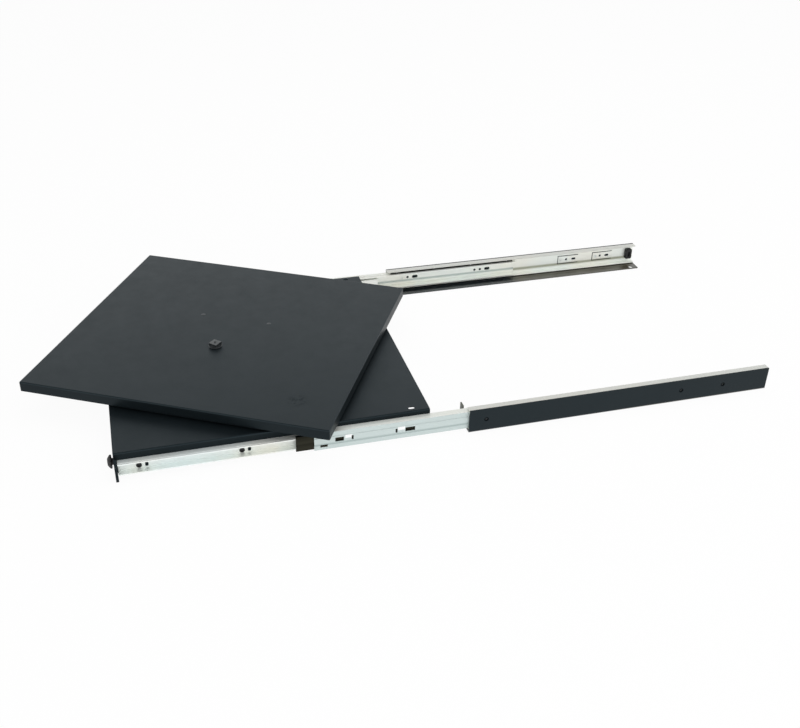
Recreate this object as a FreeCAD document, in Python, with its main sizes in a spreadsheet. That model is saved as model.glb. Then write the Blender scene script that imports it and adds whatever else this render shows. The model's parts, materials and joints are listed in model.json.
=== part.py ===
import FreeCAD, Part
import os
import Sketcher

# Slide-out rotating equipment base. Two angle brackets are bolted to a rack's floor. Each carries a
# three-part ball slide. A folded pan hangs between the slides, and a skirted turntable turns on it.
# Millimetres. +Z is up, +Y runs to the rear and the base pulls out towards -Y. The origin is on the
# floor, in the middle of the four bracket bolts. The base is drawn pulled out and the table turned.

DRIVING = [
    ("overall_w", 482.6, "across the outer faces of the brackets"),
    ("rail_len", 508, "length of bracket and outer rail"),
    ("bracket_h", 39.5, "height of the bracket's web"),
    ("bracket_sheet", 2, "bracket sheet thickness"),
    ("bracket_bend", 0.8, "inside bend radius of the bracket"),
    ("foot_w", 33.5, "width of the bracket's foot"),
    ("bolt_edge", 6, "edge of the foot to the floor bolts"),
    ("bolt_end", 13, "end of the bracket to the floor bolts"),
    ("bolt_hole_r", 4.2, "floor bolt hole radius"),
    ("tab_w", 11, "width of the lock tab"),
    ("tab_h", 35, "height of the lock tab"),
    ("tab_reach", 4, "lock tab ahead of the bracket's end"),
    ("lock_off", 9.25, "inside of the pan's side flange to the lock screw"),
    ("lock_z", 22, "height of the lock screw"),
    ("outer_h", 36.4, "outer rail height"),
    ("outer_sheet", 1.2, "outer rail sheet thickness"),
    ("middle_sheet", 1, "middle rail sheet thickness"),
    ("inner_sheet", 1.2, "inner rail sheet thickness"),
    ("web_gap", 0.4, "outer rail's web to the raised band of the middle rail"),
    ("rail_gap", 2.5, "outer rail's flanges to the middle rail's"),
    ("ball_gap", 0.3, "round every ball in its groove"),
    ("cage_sheet", 0.4, "ball cage sheet thickness"),
    ("cage_gap", 0.3, "on both sides of a ball cage"),
    ("pocket_gap", 0.1, "round a ball in its cage"),
    ("face_gap", 0.4, "middle rail's lips to the inner rail's mounting face"),
    ("outer_ball_r", 1.5, "balls between outer and middle rail"),
    ("inner_ball_r", 2, "balls between middle and inner rail"),
    ("groove_depth", 0.5, "ball groove in the inner rail"),
    ("lip_angle", 45, "degrees that the outer lip stops short of the ball's side"),
    ("lip_reach", 3, "middle rail's lips past the outer rail's lips"),
    ("band_half", 6, "half the height of the raised band along the middle rail's web"),
    ("band_rise", 0.8, "raised band out of the middle rail's web"),
    ("middle_len", 490, "middle rail length"),
    ("middle_reach", 236, "middle rail ahead of the outer rail"),
    ("inner_len", 491.5, "inner rail length"),
    ("inner_setback", 3.2, "inner rail's end behind the front flange"),
    ("strip_reach", 2.8, "outer ball strips past the middle of their balls"),
    ("outer_cage_in", 6, "outer ball strips' start behind the outer rail's front"),
    ("outer_cage_end", 6, "their end ahead of the middle rail's rear"),
    ("inner_cage_reach", 26.5, "inner ball cage's start ahead of the middle rail"),
    ("inner_cage_end", 20, "its end ahead of the inner rail's rear"),
    ("ball_end", 12, "first and last ball from the end of a cage"),
    ("screw_r", 2, "rail screw shank radius"),
    ("screw_head_r", 3.6, "countersunk rail screw head radius"),
    ("pan_head_r", 3.9, "pan head radius of the inner rail's screws"),
    ("pan_head_h", 2, "pan head height"),
    ("screw_tip", 1, "inner rail screw past the pan's flange"),
    ("screw_drop", 3, "inner rail's screws below the slide's middle line"),
    ("fit_gap", 0.05, "clearance of bolts, rivets and bushes"),
    ("bumper_len", 12.7, "rear bumper length"),
    ("bumper_end", 4.7, "rear bumper from the rail's end"),
    ("bumper_h", 20, "rear bumper height"),
    ("bumper_deep", 8, "rear bumper depth out of the web"),
    ("bumper_groove_w", 4.2, "width of the groove across the bumper's nose"),
    ("bumper_groove_h", 10, "height of that groove"),
    ("bumper_groove_deep", 4, "depth of that groove"),
    ("base_reach", 516.3, "front of the base ahead of the brackets"),
    ("base_depth", 459.2, "base pan, front to rear"),
    ("base_top", 42, "height of the pan's top"),
    ("base_sheet", 1.5, "pan sheet thickness"),
    ("base_bend", 2.5, "outside bend radius of the pan"),
    ("side_drop", 34, "height of the pan's side flanges"),
    ("front_in", 7.3, "front flange's ends inside the brackets' outer faces"),
    ("front_drop", 4, "front flange's ends below the pan's top"),
    ("front_return", 4, "depth of the front flange's side returns"),
    ("floor_gap", 0.4, "front flange above the floor"),
    ("rear_in", 31, "rear flange's ends inside the pan's sides"),
    ("rear_drop", 14, "height of the rear flange"),
    ("access_end", 26.4, "access hole from the rear edge"),
    ("access_r", 3, "access hole half width"),
    ("access_half", 2, "access hole, half its straight length"),
    ("pivot_in", 170.9, "pivot behind the front of the base"),
    ("table_w", 482.6, "turntable width"),
    ("table_d", 450, "turntable depth"),
    ("table_rise", 20, "turntable's top above the pan's top"),
    ("table_skirt", 16, "turntable skirt height"),
    ("table_sheet", 1.5, "turntable sheet thickness"),
    ("table_bend", 2, "outside bend radius of the turntable"),
    ("table_off", 50, "turntable's middle behind the pivot"),
    ("drawn_angle", 60.8, "degrees that the turntable is drawn turned"),
    ("limit_angle", 90, "degrees that it turns each way from square"),
    ("bolt_r", 6, "pivot bolt shank radius"),
    ("bolt_head_r", 10.5, "pivot bolt button head radius"),
    ("bolt_head_h", 6.6, "pivot bolt button head height"),
    ("bolt_rim_h", 1.6, "straight rim under the button head's dome"),
    ("bolt_flat_r", 5.25, "flat on top of the button head's dome"),
    ("socket_w", 8, "hex socket across flats"),
    ("socket_deep", 4, "hex socket depth"),
    ("head_gap", 0.3, "between bolt head and turntable"),
    ("bush_wall", 3, "pivot bush wall"),
    ("bush_flange", 4, "pivot bush flange past its wall"),
    ("bush_flange_h", 2, "pivot bush flange thickness"),
    ("washer_r", 12, "pivot washer radius"),
    ("washer_h", 2.5, "pivot washer thickness"),
    ("nut_w", 18, "pivot nut across flats"),
    ("nut_h", 10, "pivot nut height"),
    ("race_circle", 65, "ball circle radius of the bearing"),
    ("race_half", 13, "half the width of a bearing race"),
    ("race_gap", 3, "between the two races"),
    ("bearing_ball_r", 4, "bearing ball radius"),
    ("ring_half", 10, "half the width of the bearing cage"),
    ("ring_h", 1, "bearing cage thickness"),
    ("race_rivet_out", 8.7, "race rivets outside the ball circle"),
    ("rivet_r", 2, "rivet shank radius"),
    ("rivet_head_r", 3.6, "rivet head radius"),
    ("rivet_head_h", 1.4, "rivet head height"),
    ("race_rivet_set", 0.5, "race rivet below the race's top"),
    ("glide_x", 57.5, "glide pads to the side of the pivot"),
    ("glide_y", 89.6, "glide pads behind the pivot"),
    ("glide_r", 9, "glide pad radius"),
    ("glide_gap", 0.4, "glide pad above the base"),
    ("glide_rivet_in", 10, "glide rivet's depth in its pad"),
    ("peg_r", 4, "stop peg radius"),
    ("peg_h", 14, "stop peg height"),
    ("stop_gap", 0.4, "between stop peg and glide pad at the end of the turn"),
    ("knob_r", 10, "lock knob radius"),
    ("knob_h", 6, "lock knob head height"),
    ("knob_rim_h", 2, "straight rim of the lock knob"),
    ("knob_face_r", 5, "flat face of the lock knob"),
    ("knob_neck_r", 5, "lock knob neck radius"),
    ("knob_neck_h", 2.4, "lock knob neck length"),
    ("knob_gap", 0.3, "lock knob in front of the flange"),
    ("stud_r", 3, "lock screw radius"),
    ("stud_in", 5, "lock screw in its knob"),
    ("stud_out", 10, "lock screw behind the flange"),
    ("stud_gap", 0.3, "round the lock screw in its holes"),
    ("retainer_r", 6.5, "lock screw's retaining washer radius"),
    ("retainer_h", 1, "retaining washer thickness"),
]

# Places worked out from the driving dimensions. Depths run from a bracket's inner face towards the
# middle of the unit, heights from the slide's middle line.
WORKED_OUT = [
    ("rail_front", "-Dim.rail_len / 2"),
    ("rail_rear", "Dim.rail_len / 2"),
    ("rail_back", "Dim.overall_w / 2 - Dim.bracket_sheet"),
    ("bolt_x", "Dim.overall_w / 2 - Dim.foot_w + Dim.bolt_edge"),
    ("slide_z", "Dim.bracket_sheet + Dim.bracket_bend + Dim.outer_h / 2"),
    ("screw_z", "slide_z - Dim.screw_drop"),
    ("out_pocket", "Dim.outer_ball_r + Dim.ball_gap"),
    ("in_pocket", "Dim.inner_ball_r + Dim.ball_gap"),
    ("out_top", "Dim.outer_h / 2"),
    ("out_under", "out_top - Dim.outer_sheet"),
    ("out_ball_z", "out_under - out_pocket"),
    ("mid_top", "out_under - Dim.rail_gap"),
    ("mid_under", "mid_top - Dim.middle_sheet"),
    ("in_ball_z", "mid_under - in_pocket"),
    ("in_groove", "in_ball_z - in_pocket"),
    ("in_top", "in_groove + Dim.groove_depth"),
    ("in_under", "in_groove - Dim.inner_sheet"),
    ("band_back", "Dim.outer_sheet + Dim.web_gap"),
    ("band_face", "band_back + Dim.middle_sheet"),
    ("band_inner", "Dim.band_half - (sqrt(2) - 1) * Dim.middle_sheet"),
    ("mid_back", "band_back + Dim.band_rise"),
    ("mid_face", "mid_back + Dim.middle_sheet"),
    ("cage_back", "mid_face + Dim.cage_gap"),
    ("cage_face", "cage_back + Dim.cage_sheet"),
    ("cage_rise", "Dim.inner_ball_r / 2"),
    ("in_ball", "cage_face + Dim.pocket_gap + Dim.inner_ball_r"),
    ("in_end", "cage_face + Dim.cage_gap"),
    ("nest", "in_pocket + out_pocket + Dim.middle_sheet"),
    ("out_ball", "in_ball + sqrt(nest^2 - (out_ball_z - in_ball_z)^2)"),
    ("dip_outer", "out_pocket + Dim.middle_sheet"),
    ("lip_outer", "out_pocket + Dim.outer_sheet"),
    ("lip_end", "out_ball + lip_outer + Dim.lip_reach"),
    ("face", "lip_end + Dim.face_gap"),
    ("inner_web", "face - Dim.inner_sheet"),
    ("middle_front", "rail_front - Dim.middle_reach"),
    ("middle_rear", "middle_front + Dim.middle_len"),
    ("base_front", "rail_front - Dim.base_reach"),
    ("base_rear", "base_front + Dim.base_depth"),
    ("flange_back", "base_front + Dim.base_sheet"),
    ("inner_front", "flange_back + Dim.inner_setback"),
    ("inner_rear", "inner_front + Dim.inner_len"),
    ("base_half", "rail_back - face"),
    ("front_half", "Dim.overall_w / 2 - Dim.front_in"),
    ("front_top", "Dim.base_top - Dim.front_drop"),
    ("rear_half", "base_half - Dim.rear_in"),
    ("lock_x", "base_half - Dim.base_sheet - Dim.lock_off"),
    ("base_under", "Dim.base_top - Dim.base_sheet"),
    ("pivot_y", "base_front + Dim.pivot_in"),
    ("table_top", "Dim.base_top + Dim.table_rise"),
    ("table_under", "table_top - Dim.table_sheet"),
    ("head_seat", "table_top + Dim.head_gap"),
    ("dome_h", "Dim.bolt_head_h - Dim.bolt_rim_h"),
    ("dome_drop", "(Dim.bolt_head_r^2 - Dim.bolt_flat_r^2 - dome_h^2) / (2 * dome_h)"),
    ("dome_r", "sqrt(Dim.bolt_head_r^2 + dome_drop^2)"),
    ("bush_r", "Dim.bolt_r + Dim.fit_gap + Dim.bush_wall"),
    ("bush_flange_r", "bush_r + Dim.bush_flange"),
    ("bearing_z", "(Dim.base_top + table_under) / 2"),
    ("bearing_pocket", "Dim.bearing_ball_r + Dim.ball_gap"),
    ("groove_deep", "sqrt(2) * bearing_pocket"),
    ("groove_half", "groove_deep - Dim.race_gap / 2"),
    ("glide_circle", "sqrt(Dim.glide_x^2 + Dim.glide_y^2)"),
    ("glide_angle", "atan(Dim.glide_x / Dim.glide_y)"),
    ("stop_reach", "Dim.glide_r + Dim.peg_r + Dim.stop_gap"),
    ("stop_angle", "glide_angle + Dim.limit_angle * 1 deg + 2 * asin(stop_reach / 2 / glide_circle)"),
    ("outer_cage_front", "rail_front + Dim.outer_cage_in"),
    ("outer_cage_rear", "middle_rear - Dim.outer_cage_end"),
    ("inner_cage_front", "middle_front - Dim.inner_cage_reach"),
    ("inner_cage_rear", "inner_rear - Dim.inner_cage_end"),
]

# Screws that hold the outer rail to the bracket: one from the rail's front end, two from its rear end.
FRONT_SCREW = 27
REAR_SCREWS = [154.5, 80.4]
RAIL_SCREWS = [f"Fit.rail_front + {FRONT_SCREW}"] + [f"Fit.rail_rear - {back}" for back in REAR_SCREWS]
# Long holes in the outer rail's web, from its front end: middle and half the straight length.
LONG_HOLES = [(49.5, 9), (188.5, 14)]
LONG_HOLE_R = 3.5
# Spring tongues slit into the outer rail's web, from its rear end: front, rear, a round hole and a slot.
TONGUES = [(161, 117.5, 142.5, 127), (88, 45, 70.3, 56)]
TONGUE_HALF = 9
SLIT = 1.8
TONGUE_HOLE_R = 2.4
TONGUE_SLOT_HALF = 2
# Windows in the middle rail's web, from its front end: front, rear, low edge and high edge.
WINDOWS = [(9, 20, -10.5, -5.5), (31, 44, -3, 4), (55.5, 58.5, -3, 4), (122, 125, -3, 4), (137, 152, -3, 4)]
# Groups of two round holes and one slot in the middle rail's web, from its rear end.
HOLE_GROUPS = [223.6, 79.2]
GROUP_STEP = 11
GROUP_SLOT = 25.3
GROUP_HOLE_R = 2.4
GROUP_SLOT_R = 3
GROUP_SLOT_HALF = 2.5
# Screws of the inner rail, two from its front end and one from the pan's rear edge, and the step to the
# adjusting slot behind each one.
INNER_FRONT_SCREWS = [28.6, 172.9]
INNER_REAR_SCREW = 50.9
INNER_SCREWS = [f"Fit.inner_front + {y}" for y in INNER_FRONT_SCREWS]
INNER_SCREWS.append(f"Fit.base_rear - {INNER_REAR_SCREW}")
SLOT_STEP = 10.7
SLOT_R = 2.4
SLOT_HALF = 1.4
BALLS_IN_ROW = 4
BEARING_BALLS = 12
RACE_RIVETS = 4
RACE_RIVET_ANGLE = 45
SIDES = {"left": -1, "right": 1}

doc = FreeCAD.newDocument("rotating_base")
nodes = []


def make_sheet(name, rows):
    """A spreadsheet with one named cell for each row."""
    sheet = doc.addObject("Spreadsheet::Sheet", name)
    for line, row in enumerate(rows, start=1):
        alias, content = row[0], row[1]
        sheet.set(f"A{line}", alias)
        sheet.set(f"B{line}", f"={content}" if isinstance(content, str) else str(content))
        sheet.setAlias(f"B{line}", alias)
        if len(row) > 2:
            sheet.set(f"C{line}", row[2])
    doc.recompute()
    return sheet


make_sheet("Dim", DRIVING)
fit = make_sheet("Fit", WORKED_OUT)


def number(expression):
    """The present value of an expression of sheet cells."""
    value = fit.evalExpression(str(expression))
    return float(getattr(value, "Value", value))


def bind(item, **properties):
    """Ties properties of an object to expressions; a double underscore stands for a dot."""
    for name, expression in properties.items():
        item.setExpression(name.replace("__", "."), str(expression))


def put(item, x="0", y="0", z="0"):
    """Ties an object's place to expressions."""
    bind(item, Placement__Base__x=x, Placement__Base__y=y, Placement__Base__z=z)


def keep(label, item):
    """Names a finished piece, so that it is written to its own file."""
    item.Label = label
    nodes.append(item)
    return item


def new_body(label):
    """An empty body that becomes one piece."""
    return keep(label, doc.addObject("PartDesign::Body", label))


def pin(sketch, item, spot, x, y):
    """Holds one point of a sketch at the place that two expressions give."""
    for kind, axis, place in (("DistanceX", -2, x), ("DistanceY", -1, y)):
        if str(place) == "0":
            sketch.addConstraint(Sketcher.Constraint("PointOnObject", item, spot, axis))
            continue
        index = sketch.addConstraint(Sketcher.Constraint(kind, -1, 1, item, spot, number(place)))
        sketch.setExpression(f"Constraints[{index}]", str(place))


def set_radius(sketch, item, radius):
    """Holds the radius of a circle or an arc at an expression."""
    index = sketch.addConstraint(Sketcher.Constraint("Radius", item, number(radius)))
    sketch.setExpression(f"Constraints[{index}]", str(radius))


def arc_between(start, end, radius, turn):
    """The short arc from start to end: turn is 1 for anticlockwise and -1 for clockwise."""
    chord = end - start
    left = FreeCAD.Vector(-chord.y, chord.x, 0).normalize()
    rise = max(radius ** 2 - chord.Length ** 2 / 4, 0) ** 0.5
    centre = (start + end) / 2 + left * (turn * rise)
    middle = centre - left * (turn * radius)
    return Part.Arc(start, middle, end) if turn > 0 else Part.Arc(end, middle, start)


def draw_outline(sketch, corners):
    """A closed outline. A corner is x, y, and where an arc leads to the next one, radius and turn."""
    points = [FreeCAD.Vector(number(c[0]), number(c[1]), 0) for c in corners]
    items = []
    for index, corner in enumerate(corners):
        start, end = points[index], points[(index + 1) % len(points)]
        if len(corner) == 2:
            items.append((sketch.addGeometry(Part.LineSegment(start, end), False), 1, 2))
            continue
        turn = corner[3]
        arc = arc_between(start, end, number(corner[2]), turn)
        item = sketch.addGeometry(arc, False)
        items.append((item, 1, 2) if turn > 0 else (item, 2, 1))
    for index, (item, first, last) in enumerate(items):
        after, after_first, _ = items[(index + 1) % len(items)]
        sketch.addConstraint(Sketcher.Constraint("Coincident", item, last, after, after_first))
        pin(sketch, item, first, corners[index][0], corners[index][1])
        if len(corners[index]) > 2:
            set_radius(sketch, item, corners[index][2])


def draw_circle(sketch, x, y, radius):
    """A circle of a bound radius about a bound centre."""
    centre = FreeCAD.Vector(number(x), number(y), 0)
    item = sketch.addGeometry(Part.Circle(centre, FreeCAD.Vector(0, 0, 1), number(radius)), False)
    pin(sketch, item, 3, x, y)
    set_radius(sketch, item, radius)


def rectangle(x0, y0, x1, y1):
    """The corners of a rectangle."""
    return [(x0, y0), (x1, y0), (x1, y1), (x0, y1)]


def slot(x, y, half, radius, upright=False):
    """The corners of a slot with round ends, each end as two quarter arcs."""
    ends = []
    for sign, turn_at in ((1, 0), (-1, 180)):
        for step in (-90, 0):
            angle = turn_at + step + (90 if upright else 0)
            along = f"{sign} * {half}"
            cx = x if upright else f"{x} + {along}"
            cy = f"{y} + {along}" if upright else y
            ends.append((f"{cx} + {radius} * cos({angle})", f"{cy} + {radius} * sin({angle})", radius, 1))
        angle = turn_at + 90 + (90 if upright else 0)
        ends.append((f"{cx} + {radius} * cos({angle})", f"{cy} + {radius} * sin({angle})"))
    return ends


def new_sketch(body, plane, offset):
    """A sketch on one of the body's own planes, moved along the plane's normal."""
    sketch = body.newObject("Sketcher::SketchObject", f"{body.Name}_sketch")
    support = next(f for f in body.Origin.OriginFeatures if f.Role == f"{plane}_Plane")
    sketch.AttachmentSupport = (support, [""])
    sketch.MapMode = "FlatFace"
    sketch.setExpression("AttachmentOffset.Base.z", offset)
    return sketch


def draw(sketch, shapes):
    """Draws outlines, given as lists, and circles, given as tuples of x, y and radius."""
    for shape in shapes:
        if isinstance(shape, tuple):
            draw_circle(sketch, *shape)
        else:
            draw_outline(sketch, shape)


def pad(body, plane, shapes, low, high):
    """Adds the shapes to the body between two places along the plane's axis."""
    sketch = new_sketch(body, plane, f"-({high})" if plane == "XZ" else str(low))
    draw(sketch, shapes)
    feature = body.newObject("PartDesign::Pad", f"{body.Name}_pad")
    feature.Profile = sketch
    bind(feature, Length=f"({high}) - ({low})")
    doc.recompute()
    return feature


def pocket(body, plane, shapes, low, high):
    """Cuts the shapes out of the body between two places along the plane's axis."""
    before = body.Shape.Volume
    sketch = new_sketch(body, plane, f"-({low})" if plane == "XZ" else str(high))
    draw(sketch, shapes)
    feature = body.newObject("PartDesign::Pocket", f"{body.Name}_pocket")
    feature.Profile = sketch
    bind(feature, Length=f"({high}) - ({low})")
    doc.recompute()
    if body.Shape.Volume >= before:
        raise RuntimeError(f"a pocket in {body.Label} cuts nothing")
    return feature


def round_edges(body, radius, chosen):
    """Rounds the edges of the body that the given test chooses."""
    base = body.Tip
    names = [f"Edge{i}" for i, edge in enumerate(base.Shape.Edges, start=1) if chosen(edge)]
    feature = body.newObject("PartDesign::Fillet", f"{body.Name}_round")
    feature.Base = (base, names)
    bind(feature, Radius=radius)
    doc.recompute()


def turned(label, corners, plane="XZ"):
    """A turned piece: the outline's first value is the radius, the second runs along the axis."""
    body = new_body(label)
    sketch = new_sketch(body, plane, "0")
    draw_outline(sketch, corners)
    feature = body.newObject("PartDesign::Revolution", f"{body.Name}_turn")
    feature.Profile = sketch
    feature.ReferenceAxis = (sketch, ["V_Axis"])
    feature.Angle = 360
    doc.recompute()
    return body


def primitive(kind, turn=None, at=("0", "0", "0"), **sizes):
    """A box, cylinder, cone or ball with bound sizes and place."""
    item = doc.addObject(f"Part::{kind}", kind.lower())
    if turn is not None:
        item.Placement = FreeCAD.Placement(FreeCAD.Vector(), turn)
    put(item, *at)
    bind(item, **sizes)
    return item


def group(label, items):
    """Several separate solids that share one node."""
    compound = keep(label, doc.addObject("Part::Compound", label))
    compound.Links = items
    return compound


def joined(items):
    """Several primitives made into one solid."""
    fuse = doc.addObject("Part::MultiFuse", "joined")
    fuse.Shapes = items
    return fuse


def less(value):
    """An expression with its sign changed."""
    return f"-({value})"


def both_halves(upper):
    """Closes a section about its middle line: the upper corners, then the same ones below."""
    lower = []
    for index in range(len(upper) - 1, -1, -1):
        arc = upper[index - 1][2:] if index > 0 else ()
        lower.append((upper[index][0], less(upper[index][1])) + tuple(arc))
    return list(upper) + lower


def section(side, corners):
    """Moves a slide's section, given as depth and height, to its place on one side."""
    moved = []
    for corner in corners:
        x = f"{side} * (Fit.rail_back - ({corner[0]}))"
        z = f"Fit.slide_z + ({corner[1]})"
        arc = (corner[2], -side * corner[3]) if len(corner) > 2 else ()
        moved.append((x, z) + arc)
    return moved


def depth_span(side, shallow, deep):
    """The low and high X of a stretch of depth on one side."""
    places = (f"{side} * (Fit.rail_back - ({shallow}))", f"{side} * (Fit.rail_back - ({deep}))")
    return places if side < 0 else places[::-1]


def outwards(side):
    """The turn that lays an upright primitive along X, pointing away from the unit's middle."""
    return FreeCAD.Rotation(FreeCAD.Vector(0, 1, 0), 90 * side)


def make_bracket(name, side):
    """An angle bracket: upright web, foot towards the middle, and on the right side the lock tab."""
    body = new_body(f"bracket_{name}")
    sheet = "Dim.bracket_sheet"
    bend = f"(Dim.bracket_bend + {sheet})"
    profile = [
        ("0", bend, bend, 1), (bend, "0"), ("Dim.foot_w", "0"), ("Dim.foot_w", sheet),
        (bend, sheet, "Dim.bracket_bend", -1), (sheet, bend),
        (sheet, "Dim.bracket_h"), ("0", "Dim.bracket_h"),
    ]
    corners = []
    for corner in profile:
        x = f"{side} * (Dim.overall_w / 2 - {corner[0]})"
        arc = (corner[2], -side * corner[3]) if len(corner) > 2 else ()
        corners.append((x, corner[1]) + arc)
    pad(body, "XZ", [corners], "Fit.rail_front", "Fit.rail_rear")
    bolts = [(f"{side} * Fit.bolt_x", f"{end} * (Dim.rail_len / 2 - Dim.bolt_end)", "Dim.bolt_hole_r")
             for end in (-1, 1)]
    pocket(body, "XY", bolts, "0", sheet)
    screws = [(y, "Fit.slide_z", "Dim.screw_r + Dim.fit_gap") for y in RAIL_SCREWS]
    pocket(body, "YZ", screws, *depth_span(side, f"-{sheet}", "0"))
    if side > 0:
        low, high = "Fit.lock_x - Dim.tab_w / 2", "Fit.lock_x + Dim.tab_w / 2"
        front = "Fit.rail_front - Dim.tab_reach"
        pad(body, "XY", [rectangle(low, front, high, "Fit.rail_front")], "0", sheet)
        pad(body, "XZ", [rectangle(low, "0", high, "Dim.tab_h")], front, f"{front} + {sheet}")
        hole = ("Fit.lock_x", "Dim.lock_z", "Dim.stud_r + Dim.stud_gap")
        pocket(body, "XZ", [hole], front, f"{front} + {sheet}")


def make_outer_rail(name, side):
    """The fixed rail: a channel with lips over the outer balls, long holes and two slit spring tongues."""
    stop = "Dim.lip_angle"
    upper = [
        ("0", "Fit.out_top"),
        ("Fit.out_ball", "Fit.out_top", "Fit.lip_outer", -1),
        (f"Fit.out_ball + Fit.lip_outer * cos({stop})", f"Fit.out_ball_z + Fit.lip_outer * sin({stop})"),
        (f"Fit.out_ball + Fit.out_pocket * cos({stop})", f"Fit.out_ball_z + Fit.out_pocket * sin({stop})",
         "Fit.out_pocket", 1),
        ("Fit.out_ball", "Fit.out_under"),
        ("Dim.outer_sheet", "Fit.out_under"),
    ]
    body = doc.addObject("PartDesign::Body", f"channel_{name}")
    pad(body, "XZ", [section(side, both_halves(upper))], "Fit.rail_front", "Fit.rail_rear")
    cuts = [slot(f"Fit.rail_front + {middle}", "Fit.slide_z", half, LONG_HOLE_R)
            for middle, half in LONG_HOLES]
    for front, rear, round_hole, long_hole in TONGUES:
        low, high = f"Fit.slide_z - {TONGUE_HALF}", f"Fit.slide_z + {TONGUE_HALF}"
        near, far = f"Fit.rail_rear - {front}", f"Fit.rail_rear - {rear}"
        cuts.append([
            (near, low), (far, low), (far, f"{low} + {SLIT}"), (f"{near} + {SLIT}", f"{low} + {SLIT}"),
            (f"{near} + {SLIT}", f"{high} - {SLIT}"), (far, f"{high} - {SLIT}"), (far, high), (near, high),
        ])
        cuts.append((f"Fit.rail_rear - {round_hole}", "Fit.slide_z", TONGUE_HOLE_R))
        cuts.append(slot(f"Fit.rail_rear - {long_hole}", "Fit.slide_z", TONGUE_SLOT_HALF, TONGUE_HOLE_R))
    pocket(body, "YZ", cuts, *depth_span(side, "0", "Dim.outer_sheet"))
    seats = [rail_screw_head(side, y, "Dim.fit_gap") for y in RAIL_SCREWS]
    rail = keep(f"outer_rail_{name}", doc.addObject("Part::Cut", f"outer_rail_{name}"))
    rail.Base = body
    rail.Tool = joined(seats)


def rail_screw_head(side, y, gap):
    """The cone of a countersunk rail screw, or with a gap, the seat it lies in."""
    place = (f"{side} * Fit.rail_back", y, "Fit.slide_z")
    return primitive("Cone", outwards(-side), place, Radius1=f"Dim.screw_r + {gap}",
                     Radius2=f"Dim.screw_head_r + {gap}", Height="Dim.outer_sheet")


def make_rail_screws(name, side):
    """Countersunk screws, flush in the outer rail's web and flush with the bracket's outer face."""
    screws = []
    for y in RAIL_SCREWS:
        place = (f"{side} * Fit.rail_back", y, "Fit.slide_z")
        shank = primitive("Cylinder", outwards(side), place, Radius="Dim.screw_r",
                          Height="Dim.bracket_sheet")
        screws.append(joined([rail_screw_head(side, y, "0"), shank]))
    group(f"rail_screws_{name}", screws)


def make_bumper(name, side):
    """The rubber stop at the rear end of the outer rail, with a groove across its nose."""
    body = new_body(f"bumper_{name}")
    half, deep = "Dim.bumper_h / 2", "Dim.outer_sheet + Dim.bumper_deep"
    outline = [("Dim.outer_sheet", less(half)), (deep, less(half)), (deep, half), ("Dim.outer_sheet", half)]
    rear = "Fit.rail_rear - Dim.bumper_end"
    pad(body, "XZ", [section(side, outline)], f"{rear} - Dim.bumper_len", rear)
    middle = f"{rear} - Dim.bumper_len / 2"
    groove = rectangle(f"{middle} - Dim.bumper_groove_w / 2", "Fit.slide_z - Dim.bumper_groove_h / 2",
                       f"{middle} + Dim.bumper_groove_w / 2", "Fit.slide_z + Dim.bumper_groove_h / 2")
    pocket(body, "YZ", [groove], *depth_span(side, f"{deep} - Dim.bumper_groove_deep", deep))


def make_middle_rail(name, side):
    """The middle rail: a sheet with a raised band, folded over the inner balls and under the outer ones."""
    dip_start = "Fit.out_ball - sqrt(Fit.out_pocket^2 - (Fit.out_ball_z - Fit.mid_top)^2)"
    bend_end = "Fit.out_ball - sqrt(Fit.dip_outer^2 - (Fit.out_ball_z - Fit.mid_under)^2)"
    upper = [
        ("Fit.band_back", "Dim.band_half"),
        ("Fit.mid_back", "Dim.band_half + Dim.band_rise"),
        ("Fit.mid_back", "Fit.mid_top"),
        (dip_start, "Fit.mid_top", "Fit.out_pocket", 1),
        ("Fit.out_ball", "Fit.out_ball_z - Fit.out_pocket"),
        ("Fit.lip_end", "Fit.out_ball_z - Fit.out_pocket"),
        ("Fit.lip_end", "Fit.out_ball_z - Fit.dip_outer"),
        ("Fit.out_ball", "Fit.out_ball_z - Fit.dip_outer", "Fit.dip_outer", -1),
        (bend_end, "Fit.mid_under"),
        ("Fit.mid_face", "Fit.mid_under"),
        ("Fit.mid_face", "Fit.band_inner + Dim.band_rise"),
        ("Fit.band_face", "Fit.band_inner"),
    ]
    body = new_body(f"middle_rail_{name}")
    pad(body, "XZ", [section(side, both_halves(upper))], "Fit.middle_front", "Fit.middle_rear")
    cuts = [rectangle(f"Fit.middle_front + {front}", f"Fit.slide_z + {low}",
                      f"Fit.middle_front + {rear}", f"Fit.slide_z + {high}")
            for front, rear, low, high in WINDOWS]
    for start in HOLE_GROUPS:
        first = f"Fit.middle_rear - {start}"
        cuts += [(f"{first} + {step}", "Fit.slide_z", GROUP_HOLE_R) for step in (0, GROUP_STEP)]
        cuts.append(slot(f"{first} + {GROUP_SLOT}", "Fit.slide_z", GROUP_SLOT_HALF, GROUP_SLOT_R))
    pocket(body, "YZ", cuts, *depth_span(side, "Fit.band_back", "Fit.mid_face"))


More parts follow.
